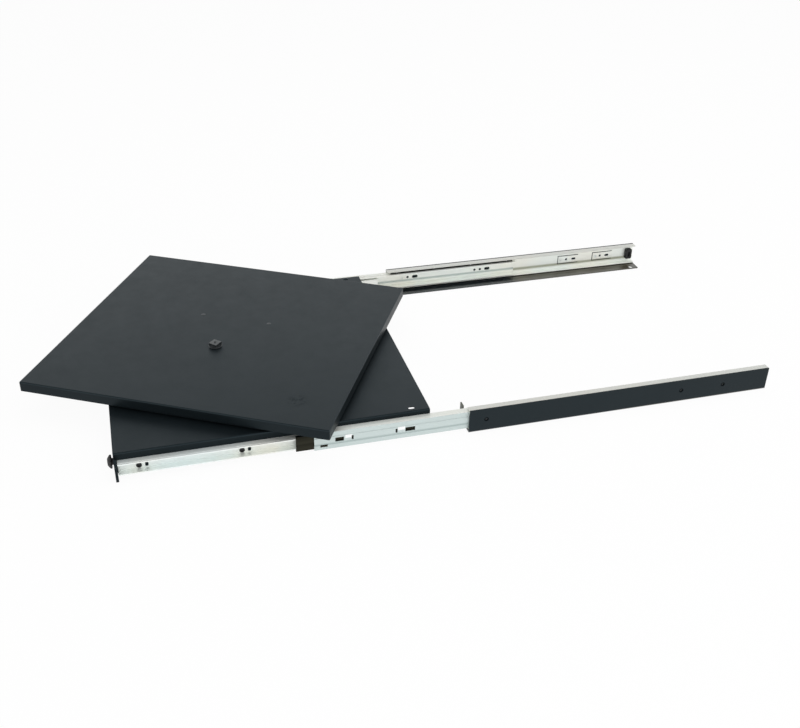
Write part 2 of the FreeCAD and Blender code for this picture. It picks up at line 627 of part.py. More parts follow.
def make_inner_rail(name, side):
    """The rail on the pan's side: a channel with a shallow ball groove along each flange."""
    half = "sqrt(Fit.in_pocket^2 - (Fit.in_ball_z - Fit.in_top)^2)"
    upper = [
        ("Fit.face", "Fit.in_top"),
        (f"Fit.in_ball + {half}", "Fit.in_top", "Fit.in_pocket", -1),
        (f"Fit.in_ball - {half}", "Fit.in_top"),
        ("Fit.in_end", "Fit.in_top"),
        ("Fit.in_end", "Fit.in_under"),
        ("Fit.inner_web", "Fit.in_under"),
    ]
    body = new_body(f"inner_rail_{name}")
    pad(body, "XZ", [section(side, both_halves(upper))], "Fit.inner_front", "Fit.inner_rear")
    cuts = []
    for y in INNER_SCREWS:
        cuts.append((y, "Fit.screw_z", "Dim.screw_r + Dim.fit_gap"))
        cuts.append(slot(f"{y} + {SLOT_STEP}", "Fit.screw_z", SLOT_HALF, SLOT_R, upright=True))
    pocket(body, "YZ", cuts, *depth_span(side, "Fit.inner_web", "Fit.face"))


def make_inner_screws(name, side):
    """Pan head screws that hold the inner rail to the pan's side flange."""
    screws = []
    for y in INNER_SCREWS:
        seat = (f"{side} * (Fit.rail_back - Fit.inner_web)", y, "Fit.screw_z")
        head = primitive("Cylinder", outwards(side), seat, Radius="Dim.pan_head_r",
                         Height="Dim.pan_head_h")
        shank = primitive("Cylinder", outwards(-side), seat, Radius="Dim.screw_r",
                          Height="Dim.inner_sheet + Dim.base_sheet + Dim.screw_tip")
        screws.append(joined([head, shank]))
    group(f"inner_screws_{name}", screws)


def ball_places(front, rear):
    """Evenly spaced places of one row of balls along a cage."""
    step = f"({rear} - {front} - 2 * Dim.ball_end) / {BALLS_IN_ROW - 1}"
    return [f"{front} + Dim.ball_end + {index} * {step}" for index in range(BALLS_IN_ROW)]


def make_balls(label, side, depth, height, radius, places):
    """Two rows of balls, above and below the slide's middle line."""
    x = f"{side} * (Fit.rail_back - {depth})"
    group(label, [primitive("Sphere", None, (x, y, f"Fit.slide_z + {row} * {height}"), Radius=radius)
                  for row in (-1, 1) for y in places])


def cage_pockets(side, places, depth, radius):
    """The pockets of a cage, cut through it at the balls' places."""
    return [(f"{side} * (Fit.rail_back - {depth})", y, radius) for y in places]


def make_outer_cage(name, side):
    """Two thin strips above and below the middle rail that keep the outer balls apart."""
    front, rear = "Fit.outer_cage_front", "Fit.outer_cage_rear"
    places = ball_places(front, rear)
    make_balls(f"outer_balls_{name}", side, "Fit.out_ball", "Fit.out_ball_z", "Dim.outer_ball_r", places)
    low = "Fit.mid_top + Dim.cage_gap"
    hole = "Dim.outer_ball_r + Dim.pocket_gap"
    xs = depth_span(side, "Fit.in_ball", "Fit.out_ball + Dim.strip_reach")
    strips = []
    for row, word in ((1, "upper"), (-1, "lower")):
        body = doc.addObject("PartDesign::Body", f"{word}_strip_{name}")
        heights = (f"Fit.slide_z + {low}", f"Fit.slide_z + {low} + Dim.cage_sheet")
        if row < 0:
            heights = (f"Fit.slide_z - ({low}) - Dim.cage_sheet", f"Fit.slide_z - ({low})")
        pad(body, "XY", [rectangle(xs[0], front, xs[1], rear)], *heights)
        pocket(body, "XY", cage_pockets(side, places, "Fit.out_ball", hole), *heights)
        strips.append(body)
    group(f"outer_cage_{name}", strips)


def make_inner_cage(name, side):
    """A thin channel inside the middle rail whose flanges keep the inner balls apart."""
    front, rear = "Fit.inner_cage_front", "Fit.inner_cage_rear"
    places = ball_places(front, rear)
    make_balls(f"inner_balls_{name}", side, "Fit.in_ball", "Fit.in_ball_z", "Dim.inner_ball_r", places)
    low = "Fit.in_ball_z + Fit.cage_rise"
    high = f"{low} + Dim.cage_sheet"
    deep = "Fit.in_ball + Fit.cage_rise"
    upper = [("Fit.cage_back", high), (deep, high), (deep, low), ("Fit.cage_face", low)]
    body = new_body(f"inner_cage_{name}")
    pad(body, "XZ", [section(side, both_halves(upper))], front, rear)
    hole = "sqrt(Dim.inner_ball_r^2 - Fit.cage_rise^2) + Dim.pocket_gap"
    pocket(body, "XY", cage_pockets(side, places, "Fit.in_ball", hole),
           f"Fit.slide_z - ({high})", f"Fit.slide_z + {high}")


def is_along(edge, axis, **limits):
    """Whether an edge is straight, runs along an axis and lies at the given places."""
    ends = [vertex.Point for vertex in edge.Vertexes]
    if len(ends) != 2 or edge.Curve.TypeId != "Part::GeomLine":
        return False
    along = ends[1] - ends[0]
    if abs(abs(getattr(along, axis)) - edge.Length) > 1e-6:
        return False
    return all(abs(abs(getattr(ends[0], name)) - abs(value)) < 1e-4 for name, value in limits.items())


def make_base_pan():
    """The sliding pan: top, side flanges for the rails, a front flange to the floor and a rear one."""
    body = new_body("base_pan")
    half, sheet = "Fit.base_half", "Dim.base_sheet"
    low = "Dim.base_top - Dim.side_drop"
    hat = [
        (less(half), low), (f"{sheet} - {half}", low), (f"{sheet} - {half}", "Fit.base_under"),
        (f"{half} - {sheet}", "Fit.base_under"), (f"{half} - {sheet}", low), (half, low),
        (half, "Dim.base_top"), (less(half), "Dim.base_top"),
    ]
    pad(body, "XZ", [hat], "Fit.base_front", "Fit.base_rear")
    top = number("Dim.base_top")
    round_edges(body, "Dim.base_bend", lambda edge: is_along(edge, "y", z=top))
    wide = "Fit.front_half"
    front = rectangle(less(wide), "Dim.floor_gap", wide, "Fit.front_top")
    pad(body, "XZ", [front], "Fit.base_front", "Fit.flange_back")
    for side in (-1, 1):
        ends = (f"{side} * {wide}", f"{side} * ({wide} - {sheet})")
        low_x, high_x = ends if side < 0 else ends[::-1]
        corner = rectangle(low_x, "Dim.floor_gap", high_x, "Fit.front_top")
        pad(body, "XZ", [corner], "Fit.base_front", "Fit.base_front + Dim.front_return")
    rear = rectangle("-Fit.rear_half", "Dim.base_top - Dim.rear_drop", "Fit.rear_half", "Fit.base_under")
    pad(body, "XZ", [rear], f"Fit.base_rear - {sheet}", "Fit.base_rear")
    holes = [("0", "Fit.pivot_y", "Dim.bolt_r + Dim.fit_gap")]
    riveted = race_rivet_places("Fit.pivot_y") + peg_places()
    holes += [(x, y, "Dim.rivet_r + Dim.fit_gap") for x, y in riveted]
    access = "Fit.base_rear - Dim.access_end"
    holes += [slot(f"{side} * Fit.bolt_x", access, "Dim.access_half", "Dim.access_r", upright=True)
              for side in (-1, 1)]
    pocket(body, "XY", holes, "Fit.base_under", "Dim.base_top")
    screws = [(y, "Fit.screw_z", "Dim.screw_r + Dim.fit_gap") for y in INNER_SCREWS]
    pocket(body, "YZ", screws, less(half), half)
    lock = ("Fit.lock_x", "Dim.lock_z", "Dim.stud_r + Dim.stud_gap")
    pocket(body, "XZ", [lock], "Fit.base_front", "Fit.flange_back")


def race_rivet_places(middle):
    """The rivets of the lower race, evenly round a middle on the Y axis."""
    circle = "(Dim.race_circle + Dim.race_rivet_out)"
    angles = [RACE_RIVET_ANGLE + 360 / RACE_RIVETS * index for index in range(RACE_RIVETS)]
    return [(f"{circle} * cos({a})", f"{middle} + {circle} * sin({a})") for a in angles]


def peg_places():
    """The stop pegs, where the glide pads end their turn."""
    return [(f"{side} * Fit.glide_circle * sin(Fit.stop_angle)",
             "Fit.pivot_y + Fit.glide_circle * cos(Fit.stop_angle)") for side in (-1, 1)]


def hexagon(width):
    """The corners of a hexagon of a given width across flats."""
    return [(f"{width} / sqrt(3) * cos({angle})", f"{width} / sqrt(3) * sin({angle})")
            for angle in range(0, 360, 60)]


def on_pivot(body):
    """Moves a piece that is drawn about its own axis to the pivot."""
    put(body, "0", "Fit.pivot_y", "0")


def make_pivot():
    """The button head bolt that the table turns on, with washer and nut under the pan."""
    rim = "Fit.head_seat + Dim.bolt_rim_h"
    crown = "Fit.head_seat + Dim.bolt_head_h"
    low = "Fit.base_under - Dim.washer_h - Dim.nut_h - Dim.screw_tip"
    bolt = turned("pivot_bolt", [
        ("0", low), ("Dim.bolt_r", low), ("Dim.bolt_r", "Fit.head_seat"),
        ("Dim.bolt_head_r", "Fit.head_seat"), ("Dim.bolt_head_r", rim, "Fit.dome_r", 1),
        ("Dim.bolt_flat_r", crown), ("0", crown),
    ])
    pocket(bolt, "XY", [hexagon("Dim.socket_w")], f"{crown} - Dim.socket_deep", crown)
    bore = "Dim.bolt_r + Dim.fit_gap"
    top = "Fit.base_under"
    washer = turned("pivot_washer", rectangle(bore, f"{top} - Dim.washer_h", "Dim.washer_r", top))
    nut = new_body("pivot_nut")
    high = f"{top} - Dim.washer_h"
    pad(nut, "XY", [hexagon("Dim.nut_w"), ("0", "0", bore)], f"{high} - Dim.nut_h", high)
    for body in (bolt, washer, nut):
        on_pivot(body)


def make_bearing():
    """Two races with a V-groove each, and a ring of balls in a flat cage between them."""
    inside, outside = "Dim.race_circle - Dim.race_half", "Dim.race_circle + Dim.race_half"
    left, right = "Dim.race_circle - Fit.groove_half", "Dim.race_circle + Fit.groove_half"
    low_face, high_face = "Fit.bearing_z - Dim.race_gap / 2", "Fit.bearing_z + Dim.race_gap / 2"
    low_groove, high_groove = "Fit.bearing_z - Fit.groove_deep", "Fit.bearing_z + Fit.groove_deep"
    lower = turned("lower_race", [
        (inside, "Dim.base_top"), (outside, "Dim.base_top"), (outside, low_face),
        (right, low_face), ("Dim.race_circle", low_groove), (left, low_face), (inside, low_face),
    ])
    rivets = [(x, y, "Dim.rivet_r + Dim.fit_gap") for x, y in race_rivet_places("0")]
    pocket(lower, "XY", rivets, "Dim.base_top", low_face)
    upper = turned("upper_race", [
        (inside, "Fit.table_under"), (inside, high_face), (left, high_face),
        ("Dim.race_circle", high_groove), (right, high_face), (outside, high_face),
        (outside, "Fit.table_under"),
    ])
    cage = turned("bearing_cage", rectangle(
        "Dim.race_circle - Dim.ring_half", "Fit.bearing_z - Dim.ring_h / 2",
        "Dim.race_circle + Dim.ring_half", "Fit.bearing_z + Dim.ring_h / 2"))
    first = pocket(cage, "XY", [("Dim.race_circle", "0", "Dim.bearing_ball_r + Dim.pocket_gap")],
                   "Fit.bearing_z - Dim.ring_h / 2", "Fit.bearing_z + Dim.ring_h / 2")
    pattern = cage.newObject("PartDesign::PolarPattern", "cage_pockets")
    pattern.Originals = [first]
    pattern.Axis = (first.Profile[0], ["N_Axis"])
    pattern.Angle = 360
    pattern.Occurrences = BEARING_BALLS
    cage.Tip = pattern
    for body in (lower, upper, cage):
        on_pivot(body)
    balls = []
    for index in range(BEARING_BALLS):
        angle = 360 / BEARING_BALLS * index
        x = f"Dim.race_circle * cos({angle})"
        y = f"Fit.pivot_y + Dim.race_circle * sin({angle})"
        balls.append(primitive("Sphere", None, (x, y, "Fit.bearing_z"), Radius="Dim.bearing_ball_r"))
    group("bearing_balls", balls)


def rivet(x, y, head_low, shank_low, shank_high):
    """A rivet along Z: its head starts at one height and its shank runs between two others."""
    head = primitive("Cylinder", None, (x, y, head_low), Radius="Dim.rivet_head_r",
                     Height="Dim.rivet_head_h")
    shank = primitive("Cylinder", None, (x, y, shank_low), Radius="Dim.rivet_r",
                      Height=f"({shank_high}) - ({shank_low})")
    return joined([head, shank])


def make_base_fasteners():
    """Rivets of the lower race, and the stop pegs riveted through the pan."""
    under = "Fit.base_under - Dim.rivet_head_h"
    race_top = "Fit.bearing_z - Dim.race_gap / 2 - Dim.race_rivet_set"
    places = race_rivet_places("Fit.pivot_y")
    group("race_rivets", [rivet(x, y, under, under, race_top) for x, y in places])
    pegs = []
    for x, y in peg_places():
        post = primitive("Cylinder", None, (x, y, "Dim.base_top"), Radius="Dim.peg_r", Height="Dim.peg_h")
        pegs.append(joined([rivet(x, y, under, under, "Dim.base_top + Dim.peg_h / 2"), post]))
    group("stop_pegs", pegs)


def turn_table(body):
    """Moves a piece that is drawn square about the pivot to the drawn turn of the table."""
    body.Placement = FreeCAD.Placement(FreeCAD.Vector(), FreeCAD.Rotation(FreeCAD.Vector(0, 0, 1), 1))
    bind(body, Placement__Rotation__Angle="Dim.drawn_angle * 1 deg")
    on_pivot(body)


def make_turntable():
    """The turning plate with its folded skirt, pivot bush, glide pads and their rivets."""
    plate = new_body("turntable")
    half, low = "Dim.table_w / 2", "Fit.table_top - Dim.table_skirt"
    front, rear = "Dim.table_off - Dim.table_d / 2", "Dim.table_off + Dim.table_d / 2"
    pad(plate, "XY", [rectangle(less(half), front, half, rear)], low, "Fit.table_top")
    top = number("Fit.table_top")

    def is_folded(edge):
        return is_along(edge, "x", z=top) or is_along(edge, "y", z=top) or is_along(edge, "z")

    round_edges(plate, "Dim.table_bend", is_folded)
    sheet = "Dim.table_sheet"
    inside = rectangle(f"{sheet} - {half}", f"{front} + {sheet}", f"{half} - {sheet}", f"{rear} - {sheet}")
    pocket(plate, "XY", [inside], low, "Fit.table_under")
    pads = [(f"{side} * Dim.glide_x", "Dim.glide_y") for side in (-1, 1)]
    holes = [("0", "0", "Fit.bush_r + Dim.fit_gap")]
    holes += [(x, y, "Dim.rivet_r + Dim.fit_gap") for x, y in pads]
    pocket(plate, "XY", holes, "Fit.table_under", "Fit.table_top")
    bore = "Dim.bolt_r + Dim.fit_gap"
    flange = "Fit.table_under - Dim.bush_flange_h"
    bush = turned("pivot_bush", [
        (bore, flange), ("Fit.bush_flange_r", flange), ("Fit.bush_flange_r", "Fit.table_under"),
        ("Fit.bush_r", "Fit.table_under"), ("Fit.bush_r", "Fit.table_top"), (bore, "Fit.table_top"),
    ])
    for body in (plate, bush):
        turn_table(body)
    rivet_low = "Fit.table_under - Dim.glide_rivet_in"
    rivets = []
    for name, (x, y) in zip(SIDES, pads):
        glide = new_body(f"glide_pad_{name}")
        pad(glide, "XY", [(x, y, "Dim.glide_r")], "Dim.base_top + Dim.glide_gap", "Fit.table_under")
        pocket(glide, "XY", [(x, y, "Dim.rivet_r + Dim.fit_gap")], rivet_low, "Fit.table_under")
        turn_table(glide)
        rivets.append(rivet(x, y, "Fit.table_top", rivet_low, "Fit.table_top"))
    turn_table(group("glide_rivets", rivets))


def make_lock():
    """The lock screw on the front flange: knob, stud and the washer that keeps it in."""
    neck = "0 - Dim.knob_gap"
    head = f"{neck} - Dim.knob_neck_h"
    crown = f"{head} - Dim.knob_h"
    rim = f"{head} - Dim.knob_rim_h"
    stud_end = f"{head} - Dim.stud_in"
    bore = "Dim.stud_r + Dim.fit_gap"
    knob = turned("lock_knob", [
        (bore, neck), (bore, stud_end), ("0", stud_end), ("0", crown), ("Dim.knob_face_r", crown),
        ("Dim.knob_r", rim), ("Dim.knob_r", head), ("Dim.knob_neck_r", head), ("Dim.knob_neck_r", neck),
    ], plane="XY")
    tip = "Dim.base_sheet + Dim.stud_out"
    stud = turned("lock_stud", [("0", stud_end), ("Dim.stud_r", stud_end), ("Dim.stud_r", tip), ("0", tip)],
                  plane="XY")
    near = "Dim.base_sheet + Dim.knob_gap"
    retainer = turned("lock_retainer", rectangle(bore, near, "Dim.retainer_r", f"{near} + Dim.retainer_h"),
                      plane="XY")
    for body in (knob, stud, retainer):
        put(body, "Fit.lock_x", "Fit.base_front", "Dim.lock_z")


for side_name, side_sign in SIDES.items():
    make_bracket(side_name, side_sign)
    make_outer_rail(side_name, side_sign)
    make_rail_screws(side_name, side_sign)
    make_bumper(side_name, side_sign)
    make_middle_rail(side_name, side_sign)
    make_outer_cage(side_name, side_sign)
    make_inner_cage(side_name, side_sign)
    make_inner_rail(side_name, side_sign)
    make_inner_screws(side_name, side_sign)
make_base_pan()
make_pivot()
make_bearing()
make_base_fasteners()
make_turntable()
make_lock()
doc.recompute()

for item in doc.Objects:
    if {"Invalid", "Error"} & set(item.State):
        raise RuntimeError(f"{item.Label} failed")
for node in nodes:
    if node.Shape.isNull() or not node.Shape.isValid():
        raise RuntimeError(f"{node.Label} is not a valid shape")

os.makedirs("parts", exist_ok=True)
for node in nodes:
    node.Shape.exportStep(f"parts/{node.Label}.step")
    box = node.Shape.BoundBox
    size = f"{box.XLength:.1f} x {box.YLength:.1f} x {box.ZLength:.1f}"
    print(f"{node.Label}: {len(node.Shape.Solids)} solid(s), {size}")
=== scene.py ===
# %% [markdown]
# # A slide-out rotating equipment base
# The real thing is folded sheet steel on ball slides: two brackets stand on a rack's floor, a black pan
# pulls out between them, and a skirted turntable turns on the pan. The CAD model already holds every
# solid in its place, so the lesson starts from it as a fixed frame. Blender then adds what CAD leaves
# out: paint, plating, threads, screw recesses and light.

# %% Load the frame
import json
import math
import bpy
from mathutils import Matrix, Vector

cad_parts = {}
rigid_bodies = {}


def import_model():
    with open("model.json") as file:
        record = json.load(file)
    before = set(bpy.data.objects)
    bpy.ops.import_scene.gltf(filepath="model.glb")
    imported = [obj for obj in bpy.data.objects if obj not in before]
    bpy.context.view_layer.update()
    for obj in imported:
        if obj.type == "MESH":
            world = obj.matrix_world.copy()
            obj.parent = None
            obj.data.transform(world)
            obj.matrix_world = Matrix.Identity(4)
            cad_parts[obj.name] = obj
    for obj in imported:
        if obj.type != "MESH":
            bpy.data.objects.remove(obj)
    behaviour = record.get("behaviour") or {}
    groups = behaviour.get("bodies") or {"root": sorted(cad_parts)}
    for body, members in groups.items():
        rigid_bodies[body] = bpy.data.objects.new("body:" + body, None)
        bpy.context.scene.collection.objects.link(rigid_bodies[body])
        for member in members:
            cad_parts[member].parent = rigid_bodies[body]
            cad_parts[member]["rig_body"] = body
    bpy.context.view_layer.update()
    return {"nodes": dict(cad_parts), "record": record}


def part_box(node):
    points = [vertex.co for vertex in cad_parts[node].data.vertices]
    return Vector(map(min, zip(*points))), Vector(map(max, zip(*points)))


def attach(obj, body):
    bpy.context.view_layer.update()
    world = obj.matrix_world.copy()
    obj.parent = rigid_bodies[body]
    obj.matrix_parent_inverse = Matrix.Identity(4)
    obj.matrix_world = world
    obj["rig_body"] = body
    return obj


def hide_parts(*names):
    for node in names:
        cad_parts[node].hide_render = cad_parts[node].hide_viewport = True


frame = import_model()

from types import SimpleNamespace

import bpy
import numpy as np

# %% [markdown]
# ## The camera
# The photograph was taken from the right, a little above, with the near slide pulled out to the left.
# The camera's place, turn and lens were worked out by laying the corners of the brackets, the pan and the
# turntable over the photograph, so they are written here as plain numbers.

# %% Camera
CAMERA_AT = (1.428088, -0.716890, 0.907107)
CAMERA_TURN = (58.17683, -1.21492, 74.23558)
CAMERA_LENS, CAMERA_SENSOR, CAMERA_CLIP = 46.4607, 36, 0.01

camera = bpy.data.objects.new("camera", bpy.data.cameras.new("camera"))
camera.location = CAMERA_AT
camera.rotation_euler = [math.radians(angle) for angle in CAMERA_TURN]
camera.data.lens = CAMERA_LENS
camera.data.sensor_width = CAMERA_SENSOR
camera.data.clip_start = CAMERA_CLIP
bpy.context.scene.collection.objects.link(camera)
bpy.context.scene.camera = camera
bpy.context.scene.view_settings.view_transform = "Standard"
print("camera", np.round(CAMERA_AT, 3).tolist(), "lens", camera.data.lens)

# %% [markdown]
# ## Writing shader maths as sums
# Node trees are easier to read as formulas. This class wraps one socket, and every sum or product of two
# wires adds a Math node by itself. Any other node comes from one method, which sets the node's settings
# first and then fills or links its inputs.

# %% The wire class
class Wire:
    """A node's output that can be used in sums, so that 1 - mask adds a Math node."""

    def __init__(self, tree, socket):
        self.tree, self.socket = tree, socket

    def node(self, kind, settings=None, inputs=None, output=0):
        """Adds one node of this kind: settings first, then a value or a link for each named input."""
        made = self.tree.nodes.new(kind)
        for name, value in (settings or {}).items():
            setattr(made, name, value)
        for name, value in (inputs or {}).items():
            if isinstance(value, Wire):
                self.tree.links.new(value.socket, made.inputs[name])
            else:
                made.inputs[name].default_value = value
        return Wire(self.tree, made.outputs[output])

    def math(self, operation, first, second):
        """One Math node on two wires or numbers."""
        return self.node("ShaderNodeMath", {"operation": operation}, {0: first, 1: second})

    def __add__(self, other):
        return self.math("ADD", self, other)

    def __sub__(self, other):
        return self.math("SUBTRACT", self, other)

    def __rsub__(self, other):
        return self.math("SUBTRACT", other, self)

    def __mul__(self, other):
        return self.math("MULTIPLY", self, other)

    __radd__ = __add__
    __rmul__ = __mul__


print("wires add, subtract and multiply")

# %% [markdown]
# ## Words for masks, noise and mixtures
# A finish is mostly masks: numbers from 0 to 1 that say where something is. These helpers name the masks and
# mixtures that the finishes below need, so that a material reads like a description of its surface. Node
# groups could hold them too, but plain functions are easier to follow.

# %% Masks
def step(wire, low, high):
    """A smooth rise from 0 at low to 1 at high."""
    return wire.node("ShaderNodeMapRange", {"interpolation_type": "SMOOTHSTEP"},
                     {"Value": wire, "From Min": low, "From Max": high})


def below(wire, low, high):
    """1 up to low, then a smooth fall to 0 at high."""
    return 1 - step(wire, low, high)


def size_of(wire):
    """A wire without its sign."""
    return wire.math("ABSOLUTE", wire, 0.0)


def band(wire, middle, half, soft):
    """1 round a middle value, falling to 0 at half the band's width over the last soft metres."""
    return below(size_of(wire - middle), half - soft, half)


def axes(place):
    """The X, Y and Z of a place, all from one node."""
    split = place.node("ShaderNodeSeparateXYZ", {}, {0: place}).socket.node
    return [Wire(place.tree, socket) for socket in split.outputs]


print("masks ready")


# %% Noise and mixtures
def noise(place, size, detail=2.0, rough=0.5, stretch=(1, 1, 1)):
    """Soft noise whose blotches are about size metres wide; stretch lengthens them along an axis."""
    scale = [1 / (size * longer) for longer in stretch]
    scaled = place.node("ShaderNodeMapping", {}, {"Vector": place, "Scale": scale})
    return place.node("ShaderNodeTexNoise", {},
                      {"Vector": scaled, "Scale": 1.0, "Detail": detail, "Roughness": rough})


def blend(factor, first, second):
    """A colour between two colours, through a Mix node."""
    ends = [value if isinstance(value, Wire) else (*value, 1) for value in (first, second)]
    return factor.node("ShaderNodeMix", {"data_type": "RGBA"}, {0: factor, 6: ends[0], 7: ends[1]}, output=2)


def bump(height, depth):
    """A normal that tilts as if the height wire stood depth metres proud."""
    return height.node("ShaderNodeBump", {}, {"Height": height, "Distance": depth, "Strength": 1.0})


def start_finish(name, constants):
    """A material with one Principled shader whose fixed numbers are set on its own sockets."""
    material = bpy.data.materials.new(name)
    material.use_nodes = True
    tree = material.node_tree
    shader = tree.nodes["Principled BSDF"]
    for socket, value in constants.items():
        shader.inputs[socket].default_value = value
    place = Wire(tree, tree.nodes.new("ShaderNodeTexCoord").outputs["Object"])
    return material, shader, place


def connect(shader, wires):
    """Links each wire to the shader's socket of that name."""
    for socket, wire in wires.items():
        wire.tree.links.new(wire.socket, shader.inputs[socket])


print("noise and mixtures ready")

# %% [markdown]
# ## Floor, world and lamps
# A catalogue photograph stands on a white sheet under big soft boxes. The floor is white paint that still
# takes the object's shadow, mixed with a white that only the camera and reflections see. The world does the
# same: white along the horizon where it is seen, and dimmer where it lights. Overhead it darkens, as a
# studio's ceiling does, so that a black plate mirrors more light far from the camera than near it. The
# lamps only light: hidden from reflections, they leave no white squares on the zinc.

# %% Floor
FLOOR_HALF, FLOOR_Z = 8.0, -0.0004
SHEET = {"Base Color": (0.86, 0.86, 0.86, 1), "Roughness": 0.9, "Specular IOR Level": 0.0}
WHITE_SHARE = 0.95


def seen_directly(tree):
    """1 for rays from the camera, from a reflection or through glass, and 0 for light."""
    path = tree.nodes.new("ShaderNodeLightPath")
    rays = [Wire(tree, path.outputs[f"Is {kind} Ray"]) for kind in ("Camera", "Glossy", "Transmission")]
    return rays[0].math("MINIMUM", rays[0] + rays[1] + rays[2], 1.0)


def make_floor():
    """A flat square sheet under the object: x and y run from -half to half, z is constant."""
    side = np.array([-FLOOR_HALF, FLOOR_HALF])
    x, y = np.meshgrid(side, side)
    corners = np.stack([x, y, np.full_like(x, FLOOR_Z)], axis=-1).reshape(-1, 3)
    mesh = bpy.data.meshes.new("floor")
    mesh.from_pydata(corners.tolist(), [], [(0, 1, 3, 2)])
    return bpy.data.objects.new("floor", mesh)


def floor_finish():
    """White paint, almost hidden behind plain white light for the rays that look at it."""
    material, paint, place = start_finish("white_sheet", SHEET)
    tree = place.tree
    glow = tree.nodes.new("ShaderNodeEmission")
    ends = [Wire(tree, shader.outputs[0]) for shader in (paint, glow)]
    seen = seen_directly(tree)
    mixed = seen.node("ShaderNodeMixShader", {}, {0: seen * WHITE_SHARE, 1: ends[0], 2: ends[1]})
    tree.links.new(mixed.socket, tree.nodes["Material Output"].inputs["Surface"])
    return material


floor = make_floor()
floor.data.materials.append(floor_finish())
bpy.context.scene.collection.objects.link(floor)
print("floor", 2 * FLOOR_HALF, "m wide at z", FLOOR_Z)

# %% World and lamps
WORLD_LIGHT = 0.35
CEILING, CEILING_RISE = 0.25, (0.32, 0.8)
AIM = (0.0, -0.25, 0.0)
LAMPS = [
    ("key", (0.9, 2.3, 2.4), 4.0, 62),
    ("top", (-0.4, -0.3, 3.2), 3.0, 34),
    ("fill", (2.6, -0.9, 1.3), 3.0, 45),
]


def make_world():
    """White along the horizon for rays that look at it, and WORLD_LIGHT for rays that gather light."""
    world = bpy.data.worlds.new("studio")
    world.use_nodes = True
    tree = world.node_tree
    way = Wire(tree, tree.nodes.new("ShaderNodeTexCoord").outputs["Generated"])
    sky = 1 - (1 - CEILING) * step(axes(way)[2], *CEILING_RISE)
    strength = seen_directly(tree) * (sky - WORLD_LIGHT) + WORLD_LIGHT
    background = tree.nodes["Background"]
    background.inputs["Color"].default_value = (1, 1, 1, 1)
    tree.links.new(strength.socket, background.inputs["Strength"])
    return world


def soft_box(name, place, size, watts):
    """A square lamp at a place, turned towards the object."""
    lamp = bpy.data.lights.new(name, "AREA")
    lamp.shape = "SQUARE"
    lamp.size, lamp.energy = size, watts
    box = bpy.data.objects.new(name, lamp)
    box.location = place
    aim = np.subtract(AIM, place)
    box.rotation_euler = (math.acos(-aim[2] / np.linalg.norm(aim)), 0, math.atan2(-aim[0], aim[1]))
    box.visible_glossy = False
    bpy.context.scene.collection.objects.link(box)


bpy.context.scene.world = make_world()
for lamp in LAMPS:
    soft_box(*lamp)
print("lamps:", [lamp[0] for lamp in LAMPS])

# %% [markdown]
# ## Black powder coat
# Brackets, pan and turntable are powder coated: the powder melts into a satin skin with a faint orange peel,
# slightly cloudy over a hand's width. A plain dark colour would look like a cut-out, so colour, gloss and
# bump each get their own noise. The brackets' feet were coated lying flat and came out glossier, which a
# clear coat below a height shows. Towards their rear the feet get a painted reflection: an olive tint for the
# lit zinc rail they mirror, which the middle rail shades further forward. The turntable has one patch near
# its
# front corner rubbed dull. On the folded skirts and round the screw ends the coat is thin and hardly shines:
# there a Mix Shader goes over to a second shader with less sheen. The lock tab is coloured a pale olive.

# %% Thin coat
COAT_SHINE = (0.65, 0.88, 1.0, 1.0)
SLIDE_Z = 0.021
RAIL_SCREW_Y = (-0.2270, 0.0995, 0.1736)
RING_IN, RING_OUT = 0.0032, 0.0042


def thin_out(material, shader, mask, sheen):
    """Mixes a shader with a copy that has less sheen, by a mask that is 1 where the coat is thin."""
    tree = material.node_tree
    thin = tree.nodes.new("ShaderNodeBsdfPrincipled")
    thin.inputs["Specular IOR Level"].default_value = sheen
    thin.inputs["Specular Tint"].default_value = COAT_SHINE
    for name in ("Base Color", "Roughness", "Normal"):
        tree.links.new(shader.inputs[name].links[0].from_socket, thin.inputs[name])
    ends = {0: mask, 1: Wire(tree, shader.outputs[0]), 2: Wire(tree, thin.outputs[0])}
    both = mask.node("ShaderNodeMixShader", {}, ends)
    tree.links.new(both.socket, tree.nodes["Material Output"].inputs["Surface"])


def screw_rings(along, height):
    """1 near the axis of each rail screw, from the squared distance to it."""
    rings = 0
    for y in RAIL_SCREW_Y:
        square = (along - y) * (along - y) + (height - SLIDE_Z) * (height - SLIDE_Z)
        rings = rings + below(square, RING_IN ** 2, RING_OUT ** 2)
    return rings


print("rings of", 2 * RING_OUT, "m round", len(RAIL_SCREW_Y), "screw ends")

# %% Powder coat
COAT_DARK, COAT_LIGHT = (0.0040, 0.0062, 0.0074), (0.0062, 0.0088, 0.0102)
COAT_SHEEN, FOOT_SHEEN, THIN_SHEEN, RING_SHEEN = 0.54, 0.3, 0.2, 0.03
COAT_ROUGH, COAT_ROUGHER, CLEAR_ROUGH = 0.30, 0.22, 0.12
CLOUD_WIDE, GLOSS_WIDE, PEEL_WIDE, PEEL_DEEP = 0.12, 0.03, 0.0016, 0.00002
CLOUD_EDGES = (0.3, 0.7)
RUBBED_AT, RUBBED_WIDE = (0.1840, -0.5030, 0.062), 0.022
RUBBED_GRAIN, RUBBED_EDGES, RUBBED_ROUGH = 0.006, (0.42, 0.6), 0.3
SOFT = 0.001
TAB_OLIVE, TAB_WITHIN, TAB_FROM = (0.105, 0.107, 0.082), 0.226, (0.006, 0.010)
FOOT_TOP = (0.0022, 0.0032)
# painted reflection: the olive of the lit rail mirrored in the feet, from the middle rail's end to the rear
FOOT_PAINTED_REFLECTION, REFLECTION_FROM = (0.049, 0.043, 0.029), (-0.02, 0.01)
FOLD_DROPS = (0.0024, 0.0008)


